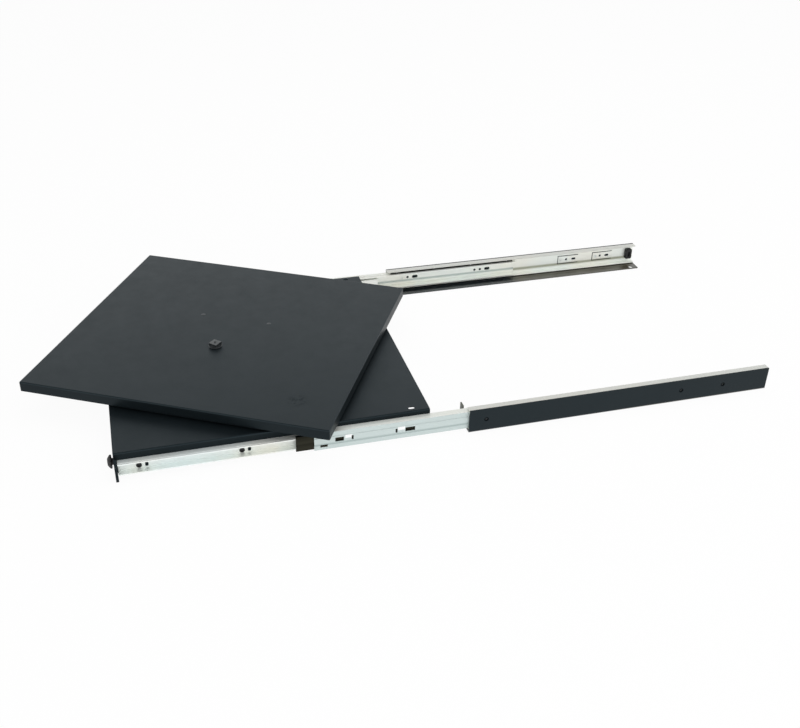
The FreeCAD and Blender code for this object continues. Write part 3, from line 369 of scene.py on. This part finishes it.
def powder_coat(name, sheen=COAT_SHEEN, fold=None, bracket=False, with_marks=False):
    """Satin black: cloudy colour, gloss that varies, orange peel, and a thin coat below a fold's height."""
    fixed = {"Specular IOR Level": sheen, "Specular Tint": COAT_SHINE, "Coat Roughness": CLEAR_ROUGH}
    material, shader, place = start_finish(name, fixed)
    across, along, height = axes(place)
    colour = blend(step(noise(place, CLOUD_WIDE, detail=4, rough=0.6), *CLOUD_EDGES), COAT_DARK, COAT_LIGHT)
    gloss = COAT_ROUGH + noise(place, GLOSS_WIDE, detail=5, rough=0.65) * COAT_ROUGHER
    if with_marks:
        away = place.node("ShaderNodeVectorMath", {"operation": "DISTANCE"}, {0: place, 1: RUBBED_AT}, 1)
        blotches = step(noise(place, RUBBED_GRAIN, detail=3, rough=0.7), *RUBBED_EDGES)
        gloss = gloss + below(away, 0, RUBBED_WIDE) * blotches * RUBBED_ROUGH
    if bracket:
        foot = below(height, *FOOT_TOP)
        # the lock tab, inside the bracket's wall and above its foot, is coloured a pale olive
        colour = blend(band(across, 0, TAB_WITHIN, SOFT) * step(height, *TAB_FROM), colour, TAB_OLIVE)
        # painted reflection: olive on the feet behind the middle rail's end
        colour = blend(foot * step(along, *REFLECTION_FROM), colour, FOOT_PAINTED_REFLECTION)
        connect(shader, {"Coat Weight": foot})
    peel = bump(noise(place, PEEL_WIDE), PEEL_DEEP)
    connect(shader, {"Base Color": colour, "Roughness": gloss, "Normal": peel})
    if bracket:
        thin_out(material, shader, screw_rings(along, height), RING_SHEEN)
    if fold:
        thin_out(material, shader, below(height, *(fold - drop for drop in FOLD_DROPS)), THIN_SHEEN)
    return material


print("powder coat from", COAT_DARK, "to", COAT_LIGHT)

# %% [markdown]
# ## Zinc plate
# The rails are rolled strip, zinc plated and blue passivated. The rolls leave fine streaks along the rail,
# and the passivation drifts between a cold blue and a warm straw tint. The middle rails' outer side is
# painted darker, a painted shade for the dim floor it mirrors, and a soft grey line of painted shade follows
# the lower bend of the raised band. Beside each window, where the strip is pressed, a bright patch is a
# painted highlight.
# Inside the outer channel an olive line of painted shade follows the lower bend, the channel's top is painted
# greyer as shade, and its front end is painted dark below it as a shadow. An image could carry these marks,
# but masks on the rail's own coordinates stay sharp at any distance.

# %% Zinc
ZINC_COOL, ZINC_WARM = (0.87, 0.93, 0.92), (0.92, 0.92, 0.86)
PALE_COOL, PALE_WARM = (0.93, 0.97, 0.93), (0.96, 0.96, 0.89)
# painted shade colours: a grey line on the band, an olive line and a greyer top in the outer channel
ZINC_BEND_SHADE, ZINC_CREASE_SHADE, ZINC_TOP_SHADE = (0.34, 0.42, 0.41), (0.38, 0.39, 0.29), (0.66, 0.66, 0.62)
ZINC_METAL = 0.55
DRIFT_WIDE, DRIFT_EDGES = 0.09, (0.35, 0.75)
STREAK_WIDE, STREAK_LONG, STREAK_DEEP = 0.0012, 120, 0.00001
ZINC_ROUGH, ZINC_ROUGHER = 0.38, 0.16
# painted shade on the middle rails' outer side
ZINC_OUTER_SHADE, OUTER_SHADE_SIDE = (0.59, 0.67, 0.66), (0.2367, 0.2369)
# painted highlight: a bright patch beside each window, at this height and these places along the rail
ZINC_PAINTED_HIGHLIGHT, HIGHLIGHT_Z = (0.97, 0.98, 0.98), (0.0246, 0.0032)
HIGHLIGHT_Y = [(-0.4388, 0.0056), (-0.3590, 0.0058)]
# painted shadow: near black on the outer channel's front end, below a height
ZINC_END_SHADOW, SHADOW_END, SHADOW_TOP = (0.045, 0.050, 0.050), (-0.2538, -0.2532), (0.030, 0.034)
# painted shade lines: height above the slide, half width, share and colour
BAND_SHADE_LINES = [(-0.0056, 0.0036, 0.72, ZINC_BEND_SHADE)]
# painted shade inside the outer channel: an olive line at the lower bend and a greyer top
CHANNEL_SHADE_LINES = [(-0.0087, 0.0046, 0.95, ZINC_CREASE_SHADE), (0.0205, 0.0065, 0.9, ZINC_TOP_SHADE)]


def zinc_plate(name, tints=(ZINC_COOL, ZINC_WARM), lines=(), with_marks=False, shadowed_end=False):
    """Bright metal, streaked along Y, with a drift of tint; a painted shade line has a height, half width,
    share, shade.
    """
    material, shader, place = start_finish(name, {"Metallic": ZINC_METAL})
    across, along, height = axes(place)
    colour = blend(step(noise(place, DRIFT_WIDE, detail=3), *DRIFT_EDGES), *tints)
    # painted shade: the middle rails' outer side is darker
    if with_marks:
        outer_side = step(size_of(across), *OUTER_SHADE_SIDE)
        colour = blend(outer_side, colour, ZINC_OUTER_SHADE)
        # painted highlight beside each window on the outer side
        level = band(height, *HIGHLIGHT_Z, SOFT)
        for middle, half in HIGHLIGHT_Y:
            colour = blend(outer_side * level * band(along, middle, half, SOFT), colour, ZINC_PAINTED_HIGHLIGHT)
    # painted shade: soft lines of darker colour at given heights
    for rise, half, share, shade in lines:
        colour = blend(band(height, SLIDE_Z + rise, half, half) * share, colour, shade)
    # painted shadow on the front end of the outer channel
    if shadowed_end:
        colour = blend(below(along, *SHADOW_END) * below(height, *SHADOW_TOP), colour, ZINC_END_SHADOW)
    streak = noise(place, STREAK_WIDE, detail=3, rough=0.6, stretch=(1, STREAK_LONG, 1))
    connect(shader, {
        "Base Color": colour,
        "Roughness": ZINC_ROUGH + streak * ZINC_ROUGHER,
        "Normal": bump(streak, STREAK_DEEP),
    })
    return material


print("zinc from", ZINC_COOL, "to", ZINC_WARM)

# %% [markdown]
# ## The small finishes
# Ball cages are phosphated strip of a dark olive grey, screws are blackened steel, balls are polished and
# races are turned. The bumpers are rubber, the bush, pads and bearing cage nylon, and the knob is moulded
# plastic. One function makes them all, because each is one colour drift, one gloss drift and one bump.

# %% Small finishes
OXIDE = ((0.006, 0.0065, 0.007), (0.016, 0.017, 0.018))
RUBBER = ((0.006, 0.006, 0.0065), (0.013, 0.013, 0.014))
PHOSPHATE = ((0.018, 0.018, 0.013), (0.038, 0.037, 0.027))
BALL = ((0.62, 0.64, 0.66), (0.72, 0.73, 0.74))
TURNED = ((0.42, 0.43, 0.44), (0.55, 0.56, 0.57))
NYLON = ((0.66, 0.64, 0.58), (0.74, 0.72, 0.66))
PLASTIC = ((0.005, 0.005, 0.0055), (0.010, 0.010, 0.011))
ROLLED = (1, 40, 1)
GRAINS_IN_CLOUD = 9


def plain_finish(name, colours, gloss, metal, grain, depth, stretch=(1, 1, 1)):
    """Two colours mixed by noise, gloss from low to high, and a bump of that grain and depth."""
    material, shader, place = start_finish(name, {"Metallic": metal})
    cloud = noise(place, grain * GRAINS_IN_CLOUD, detail=4, rough=0.6, stretch=stretch)
    fine = noise(place, grain, detail=3, rough=0.6, stretch=stretch)
    connect(shader, {
        "Base Color": blend(step(cloud, *CLOUD_EDGES), *colours),
        "Roughness": gloss[0] + fine * (gloss[1] - gloss[0]),
        "Normal": bump(fine, depth),
    })
    return material


finishes = {
    "zinc": zinc_plate("zinc_plate"),
    "black_steel": plain_finish("black_oxide", OXIDE, gloss=(0.4, 0.6), metal=0.2, grain=0.0008, depth=4e-6),
    "black_rubber": plain_finish("rubber", RUBBER, gloss=(0.6, 0.8), metal=0.0, grain=0.0011, depth=2e-5),
    "cage": plain_finish("phosphated_strip", PHOSPHATE, gloss=(0.35, 0.5), metal=1.0, grain=0.0012,
                         depth=5e-6, stretch=ROLLED),
    "ball_steel": plain_finish("polished_ball", BALL, gloss=(0.08, 0.15), metal=1.0, grain=0.0009,
                               depth=1e-6),
    "race_steel": plain_finish("turned_race", TURNED, gloss=(0.25, 0.4), metal=1.0, grain=0.0009, depth=4e-6),
    "nylon": plain_finish("nylon", NYLON, gloss=(0.4, 0.55), metal=0.0, grain=0.0014, depth=1e-5),
    "black_plastic": plain_finish("moulded_plastic", PLASTIC, gloss=(0.4, 0.55), metal=0.0, grain=0.0009,
                                  depth=1e-5),
}
print("finishes:", sorted(finishes))

# %% [markdown]
# ## Dressing the CAD nodes
# Each node's record names the slot of its material, and most nodes wear that slot's finish as it is. The big
# sheets and rails get one of their own, with the marks that only they have. A finish could go on the mesh,
# but the frame's meshes stay untouched, so it goes on the object's own material slots.

# %% Dress the nodes
PAN_FOLD, TABLE_FOLD = 0.042, 0.062

bracket_coat = powder_coat("bracket_coat", sheen=FOOT_SHEEN, bracket=True)
pan_coat = powder_coat("pan_coat", fold=PAN_FOLD)
table_coat = powder_coat("table_coat", fold=TABLE_FOLD, with_marks=True)
band_zinc = zinc_plate("banded_zinc", (PALE_COOL, PALE_WARM), BAND_SHADE_LINES, with_marks=True)
channel_zinc = zinc_plate("channel_zinc", (PALE_COOL, PALE_WARM), CHANNEL_SHADE_LINES, shadowed_end=True)
own_finishes = {
    "bracket_left": bracket_coat, "bracket_right": bracket_coat,
    "base_pan": pan_coat, "turntable": table_coat,
    "middle_rail_left": band_zinc, "middle_rail_right": band_zinc,
    "outer_rail_left": channel_zinc, "outer_rail_right": channel_zinc,
}


def dress(node, material):
    """Gives a CAD node its finish through the object's own material slots."""
    for holder in node.material_slots:
        holder.link, holder.material = "OBJECT", material


for row in frame["record"]["subparts"]:
    dress(frame["nodes"][row["node"]], own_finishes.get(row["node"]) or finishes[row["material_slot"]])
print("nodes with a finish of their own:", sorted(own_finishes))

# %% [markdown]
# ## Turned pieces
# Screws, rivets, nuts and knobs come off a lathe, so one pattern makes them all: a profile of heights and
# radii, swept round an axis as rings of points. Where a radius or height also changes round the ring, the
# same rings give a hexagon, a flute, a thread or a screwdriver's cross. Bevelled primitives could stand in,
# but they have no threads, and a lathe's profile is easier to read.

# %% Rings and skins
MM = 0.001
STEPS = 96
RING = np.linspace(0, 2 * np.pi, STEPS, endpoint=False)
SHARP_ANGLE = math.radians(34)
UPRIGHT = 0.9


def turned(heights, radii):
    """Rings of points: at each height a circle of that radius; either may also vary round the ring."""
    height = np.asarray(heights, float).reshape(len(heights), -1)
    radius = np.asarray(radii, float).reshape(len(radii), -1)
    height, radius = (np.broadcast_to(a, (len(a), STEPS)) for a in (height, radius))
    return np.stack([radius * np.cos(RING), radius * np.sin(RING), height], axis=-1)


def stand(rings, foot, axis):
    """Moves rings from millimetres about their own axis to metres at a foot, along an axis of the frame."""
    along = np.asarray(axis, float)
    across = np.cross(along, (0, 0, 1)) if abs(along[2]) < UPRIGHT else np.array([1.0, 0.0, 0.0])
    other = np.cross(along, across)
    return np.asarray(foot) + MM * (rings @ np.array([across, other, along]))


def skin(name, solids, looped=False):
    """Joins each solid's rings with quads; a flat face closes both ends, or the last ring meets the first."""
    points, faces, start = [], [], 0
    for rings in solids:
        index = start + np.arange(rings.shape[0] * STEPS).reshape(-1, STEPS)
        low = index if looped else index[:-1]
        high = np.roll(index, -1, axis=0) if looped else index[1:]
        quads = np.stack([low, np.roll(low, -1, axis=1), np.roll(high, -1, axis=1), high], axis=-1)
        faces += quads.reshape(-1, 4).tolist()
        if not looped:
            faces += [index[0, ::-1].tolist(), index[-1].tolist()]
        points.append(rings.reshape(-1, 3))
        start += index.size
    mesh = bpy.data.meshes.new(name)
    mesh.from_pydata(np.concatenate(points).tolist(), [], faces)
    mesh.shade_smooth()
    mesh.set_sharp_from_angle(angle=SHARP_ANGLE)
    return bpy.data.objects.new(name, mesh)


print("rings of", STEPS, "points")

# %% Places in the frame
SIDES = (("left", -1), ("right", 1))


def box_of(node):
    """A CAD node's box: its middle, low and high corner in metres, and its size in millimetres."""
    low, high = (np.array(corner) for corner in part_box(node))
    return SimpleNamespace(middle=(low + high) / 2, low=low, high=high, size=(high - low) / MM)


def outer_x(box, way):
    """The X of a box's face that looks away from the middle of the unit."""
    return box.high[0] if way > 0 else box.low[0]


def fit(piece, node, slot, material=None):
    """Puts a piece in the place of a CAD node, on the node's body and with a slot's finish."""
    bpy.context.scene.collection.objects.link(piece)
    piece.data.materials.append(material or finishes[slot])
    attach(piece, frame["nodes"][node]["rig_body"])
    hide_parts(node)
    print(piece.name, "stands for", node, "with", len(piece.data.polygons), "faces")


print("sides:", [side for side, way in SIDES])

# %% [markdown]
# ## Threads, domes and crosses
# A thread is a triangle wave of the radius that climbs with the angle, so a helix needs no sweep. A dome is
# a squared-off ellipse, flat on top and steep at the rim. The cross is cut by taking a depth off the dome
# wherever a point is near one of the two arms, which spares a boolean cut.

# %% Threads, domes and crosses
DOME_RIM, DOME_TIP = 0.999, 0.02
CROSS_WALL, CROSS_END = 0.15, 0.3


def thread(heights, pitch, depth):
    """How far a thread lies under its crest: a triangle wave that climbs one pitch in each turn."""
    turn = np.asarray(heights)[:, None] / pitch - RING / (2 * np.pi)
    return depth * abs(2 * (turn % 1) - 1)


def inwards(count):
    """Shares of a head's radius from its rim to almost the middle."""
    return np.linspace(1, DOME_TIP, count)


def dome(reach, power):
    """Height of a squared-off ellipse, (1 - r^power)^(1 / power), stopped just short of its upright rim."""
    return (1 - (reach * DOME_RIM) ** power) ** (1 / power)


def ramp(inside, wall):
    """0 outside an edge and 1 inside it, rising over a wall whose middle is the edge."""
    return np.clip(inside / wall + 0.5, 0, 1)


def cross_slot(radii, arm, wide, deep):
    """How deep a screwdriver's cross is: full near either arm's middle line and inside the arms' length."""
    radius = np.asarray(radii)[:, None]
    off_arm = np.minimum(abs(radius * np.cos(RING)), abs(radius * np.sin(RING)))
    return deep * ramp(wide / 2 - off_arm, CROSS_WALL) * np.clip((arm - radius) / CROSS_END, 0, 1)


print("threads, domes and crosses ready")

# %% [markdown]
# ## Pan head screws of the inner rails
# Three black pan heads hold each inner rail to the pan's side. A pan head is a short rim under a flat dome
# with a cross in it, on a threaded shank. An imported screw would do as well, but these few rings show how
# its parts follow each other along one axis.

# %% Pan heads
PAN_R, PAN_H, PAN_RIM, PAN_EDGE = 3.9, 2.0, 0.8, 0.15
PAN_LONG, TIP_H, TIP_R = 3.7, 0.4, 1.2
PAN_CROSS, PAN_POWER, PAN_RINGS = (2.3, 0.9, 1.1), 2.4, 26
SHANK_R, SHANK_PITCH, SHANK_DEEP, SHANK_STEP = 2.0, 0.7, 0.35, 0.1
INNER_SCREW_Y = (-0.7370, -0.5927, -0.3620)


def pan_head_screw():
    """Tip, thread, rim and dome: rim plus the rest times the squared-off ellipse, less the cross."""
    shank = np.arange(-PAN_LONG + TIP_H, -SHANK_STEP / 2, SHANK_STEP)
    reach = inwards(PAN_RINGS)
    crown = (PAN_RIM + (PAN_H - PAN_RIM) * dome(reach, PAN_POWER))[:, None]
    return np.concatenate([
        turned([-PAN_LONG], [TIP_R]),
        turned(shank, SHANK_R - thread(shank, SHANK_PITCH, SHANK_DEEP)),
        turned([0, 0, PAN_EDGE], [SHANK_R, PAN_R - PAN_EDGE, PAN_R]),
        turned(crown - cross_slot(PAN_R * reach, *PAN_CROSS), PAN_R * reach),
    ])


for side, way in SIDES:
    box = box_of(f"inner_screws_{side}")
    seat_x = outer_x(box, way) - way * PAN_H * MM
    screws = [stand(pan_head_screw(), (seat_x, y, box.middle[2]), (way, 0, 0)) for y in INNER_SCREW_Y]
    fit(skin(f"pan_head_screws_{side}", screws), f"inner_screws_{side}", "black_steel")

# %% [markdown]
# ## Countersunk screws of the outer rails
# The outer rails are screwed to the brackets from inside, with flush heads. Their ends stop just short of the
# bracket's outer face, so each shows there as a small dark hole. The screws are zinc plated, and the coat was
# sprayed over their ends, so the finish turns black past the bracket's inner face. Two materials could share
# the screw, but one mask needs no split mesh.

# %% Rail screws
RAIL_HEAD_R, RAIL_HEAD_H, RAIL_EDGE = 3.6, 1.2, 0.1
END_SHORT, END_H, END_R = 0.8, 0.2, 1.5
RAIL_CROSS, RAIL_RINGS = (2.1, 0.8, 0.8), 24
COATED_FROM = (0.2396, 0.2398)
PLATED_GRAIN, PLATED_DEEP = 0.0009, 0.000004
PLATED_ROUGH, PLATED_ROUGHER = 0.3, 0.2


def plated_screw(name):
    """Zinc towards the middle of the unit and black paint at the screw's outer end."""
    material, shader, place = start_finish(name, {})
    coated = step(size_of(axes(place)[0]), *COATED_FROM)
    grain = noise(place, PLATED_GRAIN, detail=3)
    connect(shader, {
        "Base Color": blend(coated, blend(grain, ZINC_COOL, ZINC_WARM), COAT_DARK),
        "Metallic": 1 - coated,
        "Roughness": PLATED_ROUGH + grain * PLATED_ROUGHER,
        "Normal": bump(grain, PLATED_DEEP),
    })
    return material


def countersunk_screw(long):
    """End, thread, cone and flat head from the bracket's outer face inwards, with a cross in the head."""
    shank = np.arange(END_SHORT + END_H, long - RAIL_HEAD_H, SHANK_STEP)
    reach = inwards(RAIL_RINGS)
    return np.concatenate([
        turned([END_SHORT], [END_R]),
        turned(shank, SHANK_R - thread(shank, SHANK_PITCH, SHANK_DEEP)),
        turned([long - RAIL_HEAD_H, long - RAIL_EDGE], [SHANK_R, RAIL_HEAD_R]),
        turned(long - cross_slot(RAIL_HEAD_R * reach, *RAIL_CROSS), RAIL_HEAD_R * reach),
    ])


screw_finish = plated_screw("plated_screw")
for side, way in SIDES:
    box = box_of(f"rail_screws_{side}")
    feet = [(outer_x(box, way), y, box.middle[2]) for y in RAIL_SCREW_Y]
    screws = [stand(countersunk_screw(box.size[0]), foot, (-way, 0, 0)) for foot in feet]
    fit(skin(f"countersunk_screws_{side}", screws), f"rail_screws_{side}", "zinc", screw_finish)

# %% [markdown]
# ## The pivot bolt and its nut
# The table turns on a low square bolt head of dark bright steel, whose flat top mirrors the sky and has the
# small centre mark of the lathe. Its round collar covers the bush. A square or a hexagon is one formula for
# the radius round a ring, and a cone cuts its corners, which is the smaller of two radii. A boolean of prism
# and cone would give the same corners with a rougher mesh. The thread runs only where the nut sits.

# %% Pivot bolt
HEAD_R, HEAD_H, SQUARE_R = 10.5, 6.6, 10.1
HEAD_CONE_R, HEAD_CONE_SLOPE, HEAD_DROPS = 9.45, 1.2, np.array([0.9, 0.5, 0.2, 0])
COLLAR_H, COLLAR_EDGE = 1.5, 0.3
MARK_R, MARK_DEEP, MARK_RINGS = 2.6, 2.0, np.linspace(1, 0.1, 6)
BOLT_R, BOLT_TIP_R, BOLT_PITCH, BOLT_DEEP = 6.0, 4.8, 1.75, 0.9
THREAD_FROM, THREAD_TO, THREAD_STEP, THREAD_END = 1.0, 13.0, 0.2, 13.3
BOLT_STEEL = ((0.135, 0.145, 0.150), (0.185, 0.197, 0.204))


def flats(sides, wide):
    """Radius round a prism: half its width over the cosine of the angle from the middle of the flat."""
    share = np.pi / sides
    return wide / 2 / np.cos(RING % (2 * share) - share)


def square_bolt(long):
    """Tip, thread, shank, collar, square head cut by a cone at its top, and a conical centre mark."""
    seat = long - HEAD_H
    climb = np.arange(THREAD_FROM, THREAD_TO, THREAD_STEP)
    collar = np.array([0, COLLAR_EDGE, COLLAR_H - COLLAR_EDGE, COLLAR_H])
    heights = np.concatenate([[COLLAR_H], HEAD_H - HEAD_DROPS])
    cone = HEAD_CONE_R + HEAD_CONE_SLOPE * (HEAD_H - heights)
    square = flats(4, SQUARE_R * 2 ** 0.5)
    return np.concatenate([
        turned([0], [BOLT_TIP_R]),
        turned(climb, BOLT_R - thread(climb, BOLT_PITCH, BOLT_DEEP)),
        turned([THREAD_END, seat], [BOLT_R, BOLT_R]),
        turned(seat + collar, HEAD_R - COLLAR_EDGE * np.array([1, 0, 0, 1])),
        turned(seat + heights, np.minimum(square[None, :], cone[:, None])),
        turned(long - MARK_DEEP * (1 - MARK_RINGS), MARK_R * MARK_RINGS),
    ])


box = box_of("pivot_bolt")
bolt = stand(square_bolt(box.size[2]), (*box.middle[:2], box.low[2]), (0, 0, 1))
bolt_finish = plain_finish("bright_bolt", BOLT_STEEL, gloss=(0.3, 0.42), metal=1.0, grain=0.0008, depth=4e-6)
fit(skin("square_bolt", [bolt]), "pivot_bolt", "black_steel", bolt_finish)

# %% Pivot nut
NUT_W, NUT_CONE_R, NUT_CONE_SLOPE = 18.0, 8.73, 1.7
NUT_RISES = np.array([0, 0.35, 0.8, 1.3])
NUT_BORE_R, BORE_EDGE = 6.05, 0.5


def hexagon_nut(high):
    """A hexagon cut by a cone at both ends, the smaller of the two radii, round a bore."""
    heights = np.concatenate([NUT_RISES, high - NUT_RISES[::-1]])
    cone = NUT_CONE_R + NUT_CONE_SLOPE * np.minimum(heights, high - heights)
    walls = np.minimum(flats(6, NUT_W)[None, :], cone[:, None])
    mouth = NUT_BORE_R + BORE_EDGE
    return np.concatenate([
        turned([0], [mouth]), turned(heights, walls), turned([high], [mouth]),
        turned([high - BORE_EDGE, BORE_EDGE], [NUT_BORE_R, NUT_BORE_R]),
    ])


box = box_of("pivot_nut")
nut = stand(hexagon_nut(box.size[2]), (*box.middle[:2], box.low[2]), (0, 0, 1))
fit(skin("hexagon_nut", [nut], looped=True), "pivot_nut", "black_steel")

# %% [markdown]
# ## Rivets
# Two rivets hold the glide pads under the turntable and four hold the lower race. A set rivet has a low round
# head, which is an ellipse turned about its axis. A squashed sphere could stand in, but the turned profile
# also has the shank and the flat under the head. The glide rivets have a flatter head and are coloured a
# paler grey.

# %% Rivets
RIVET_HEAD_R, RIVET_HEAD_H, GLIDE_HEAD_H = 3.6, 1.4, 0.5
RIVET_R, RIVET_EDGE = 2.0, 0.3
RIVET_RIM, RIVET_RINGS = 0.2, 16
RIVET_GREY = ((0.030, 0.037, 0.040), (0.046, 0.054, 0.058))


def rivet(shank, rise):
    """Shank, flat under the head, and an elliptic dome: a fifth of the rise plus the rest times the root."""
    reach = inwards(RIVET_RINGS)
    radii = [RIVET_R - RIVET_EDGE, RIVET_R, RIVET_R, RIVET_HEAD_R]
    return np.concatenate([
        turned([-shank, -shank + RIVET_EDGE, 0, 0], radii),
        turned(rise * (RIVET_RIM + (1 - RIVET_RIM) * dome(reach, 2)), RIVET_HEAD_R * reach),
    ])


inset = RIVET_HEAD_R * MM
box = box_of("glide_rivets")
near, far = box.low + inset, box.high - inset
seat_z = box.high[2] - RIVET_HEAD_H * MM
shape = rivet((seat_z - box.low[2]) / MM, GLIDE_HEAD_H)
corners = [(*near[:2], seat_z), (*far[:2], seat_z)]
pale_rivet_finish = plain_finish("pale_rivet_coat", RIVET_GREY, gloss=(0.3, 0.4), metal=0.0, grain=0.0008, depth=4e-6)
heads = [stand(shape, at, (0, 0, 1)) for at in corners]
fit(skin("flat_rivets", heads), "glide_rivets", "zinc", pale_rivet_finish)

box = box_of("race_rivets")
near, far = box.low + inset, box.high - inset
seat_z = box.low[2] + RIVET_HEAD_H * MM
shape = rivet((box.high[2] - seat_z) / MM, RIVET_HEAD_H)
corners = [(x, y, seat_z) for x in (near[0], far[0]) for y in (near[1], far[1])]
heads = [stand(shape, at, (0, 0, -1)) for at in corners]
fit(skin("race_round_rivets", heads), "race_rivets", "zinc")

# %% [markdown]
# ## The lock screw
# The knob is moulded plastic with finger flutes and turns a threaded stud that locks the base to the tab on
# the right bracket. The flutes are a raised cosine taken off the rim's radius, twelve round the knob, fading
# out towards the face. Cutting them with twelve cylinders would work too, but leaves sharp edges that a
# moulding does not have.

# %% Knob and stud
FLUTES, FLUTE_DEEP, FLUTE_POWER = 12, 1.1, 1.5
KNOB_PROFILE = [
    (0.0, 5.0, 0), (2.3, 5.0, 0), (2.4, 9.2, 0.6), (2.8, 9.9, 1), (3.4, 10.0, 1), (4.3, 10.0, 1),
    (4.9, 9.7, 0.9), (5.8, 8.6, 0.7), (6.8, 7.3, 0.4), (7.7, 6.0, 0.15), (8.2, 5.2, 0), (8.4, 4.6, 0),
    (8.4, 4.0, 0), (8.1, 3.6, 0), (8.0, 0.2, 0),
]
STUD_R, STUD_FOOT_R, STUD_TIP_R = 3.0, 2.4, 2.1
STUD_PITCH, STUD_DEEP, STUD_STEP = 1.0, 0.5, 0.12
STUD_FROM, STUD_SHORT = 0.4, 0.6


def fluted_knob():
    """Height, radius and share of flute for each ring; the radius loses depth times share times a wave."""
    heights, radii, share = np.array(KNOB_PROFILE).T
    flute = FLUTE_DEEP * (0.5 - 0.5 * np.cos(FLUTES * RING)) ** FLUTE_POWER
    return turned(heights, radii[:, None] - share[:, None] * flute)


def threaded_stud(long):
    """A rod whose radius is the thread's triangle wave, with a chamfer at both ends."""
    climb = np.arange(STUD_FROM, long - STUD_SHORT, STUD_STEP)
    return np.concatenate([
        turned([0], [STUD_FOOT_R]),
        turned(climb, STUD_R - thread(climb, STUD_PITCH, STUD_DEEP)),
        turned([long], [STUD_TIP_R]),
    ])


box = box_of("lock_knob")
knob = stand(fluted_knob(), (box.middle[0], box.high[1], box.middle[2]), (0, -1, 0))
fit(skin("fluted_knob", [knob]), "lock_knob", "black_plastic")
box = box_of("lock_stud")
stud = stand(threaded_stud(box.size[1]), (box.middle[0], box.low[1], box.middle[2]), (0, 1, 0))
fit(skin("threaded_stud", [stud]), "lock_stud", "zinc")

# %% [markdown]
# ## Rubber bumpers
# A moulded rubber block stops the rails at the rear end. Its outline is a squared-off ellipse, which has
# round corners without any bevel; the rings shrink over the rounded edge and then across the nose, where a
# groove is pressed in.

# %% Bumpers
BUMPER_EDGE, BUMPER_POWER = 1.2, 8
EDGE_RINGS, NOSE_RINGS, NOSE_TIP = 7, 30, 0.01
GROOVE_WIDE, GROOVE_HIGH, GROOVE_DEEP = 4.2, 10.0, 4.0
GROOVE_WALL, GROOVE_END = 0.5, 0.8


def rubber_block(wide, high, deep):
    """Rings of a squared-off ellipse, |y / a|^8 + |z / b|^8 = 1, that shrink over a quarter circle."""
    ray = np.stack([np.cos(RING), np.sin(RING)], axis=-1)
    reach = (abs(ray / (wide / 2, high / 2)) ** BUMPER_POWER).sum(axis=-1, keepdims=True)
    outline = ray * reach ** (-1 / BUMPER_POWER)
    bend = np.linspace(0, np.pi / 2, EDGE_RINGS)
    inset = np.concatenate([[0], BUMPER_EDGE * (1 - np.cos(bend))])
    edge = np.concatenate([[0], deep - BUMPER_EDGE + BUMPER_EDGE * np.sin(bend)])
    shrink = 1 - inset / (wide / 2)
    nose = np.linspace(shrink[-1], NOSE_TIP, NOSE_RINGS)[1:]
    plane = np.concatenate([shrink, nose])[:, None, None] * outline
    rise = np.concatenate([edge, np.full(len(nose), deep)])[:, None]
    groove = ramp(GROOVE_WIDE / 2 - abs(plane[..., 0]), GROOVE_WALL)
    groove *= ramp(GROOVE_HIGH / 2 - abs(plane[..., 1]), GROOVE_END)
    groove[:len(shrink)] = 0
    return np.concatenate([plane, (rise - GROOVE_DEEP * groove)[..., None]], axis=-1)


for side, way in SIDES:
    box = box_of(f"bumper_{side}")
    deep, wide, high = box.size
    block = stand(rubber_block(wide, high, deep), (outer_x(box, way), *box.middle[1:]), (-way, 0, 0))
    fit(skin(f"rubber_block_{side}", [block]), f"bumper_{side}", "black_rubber")
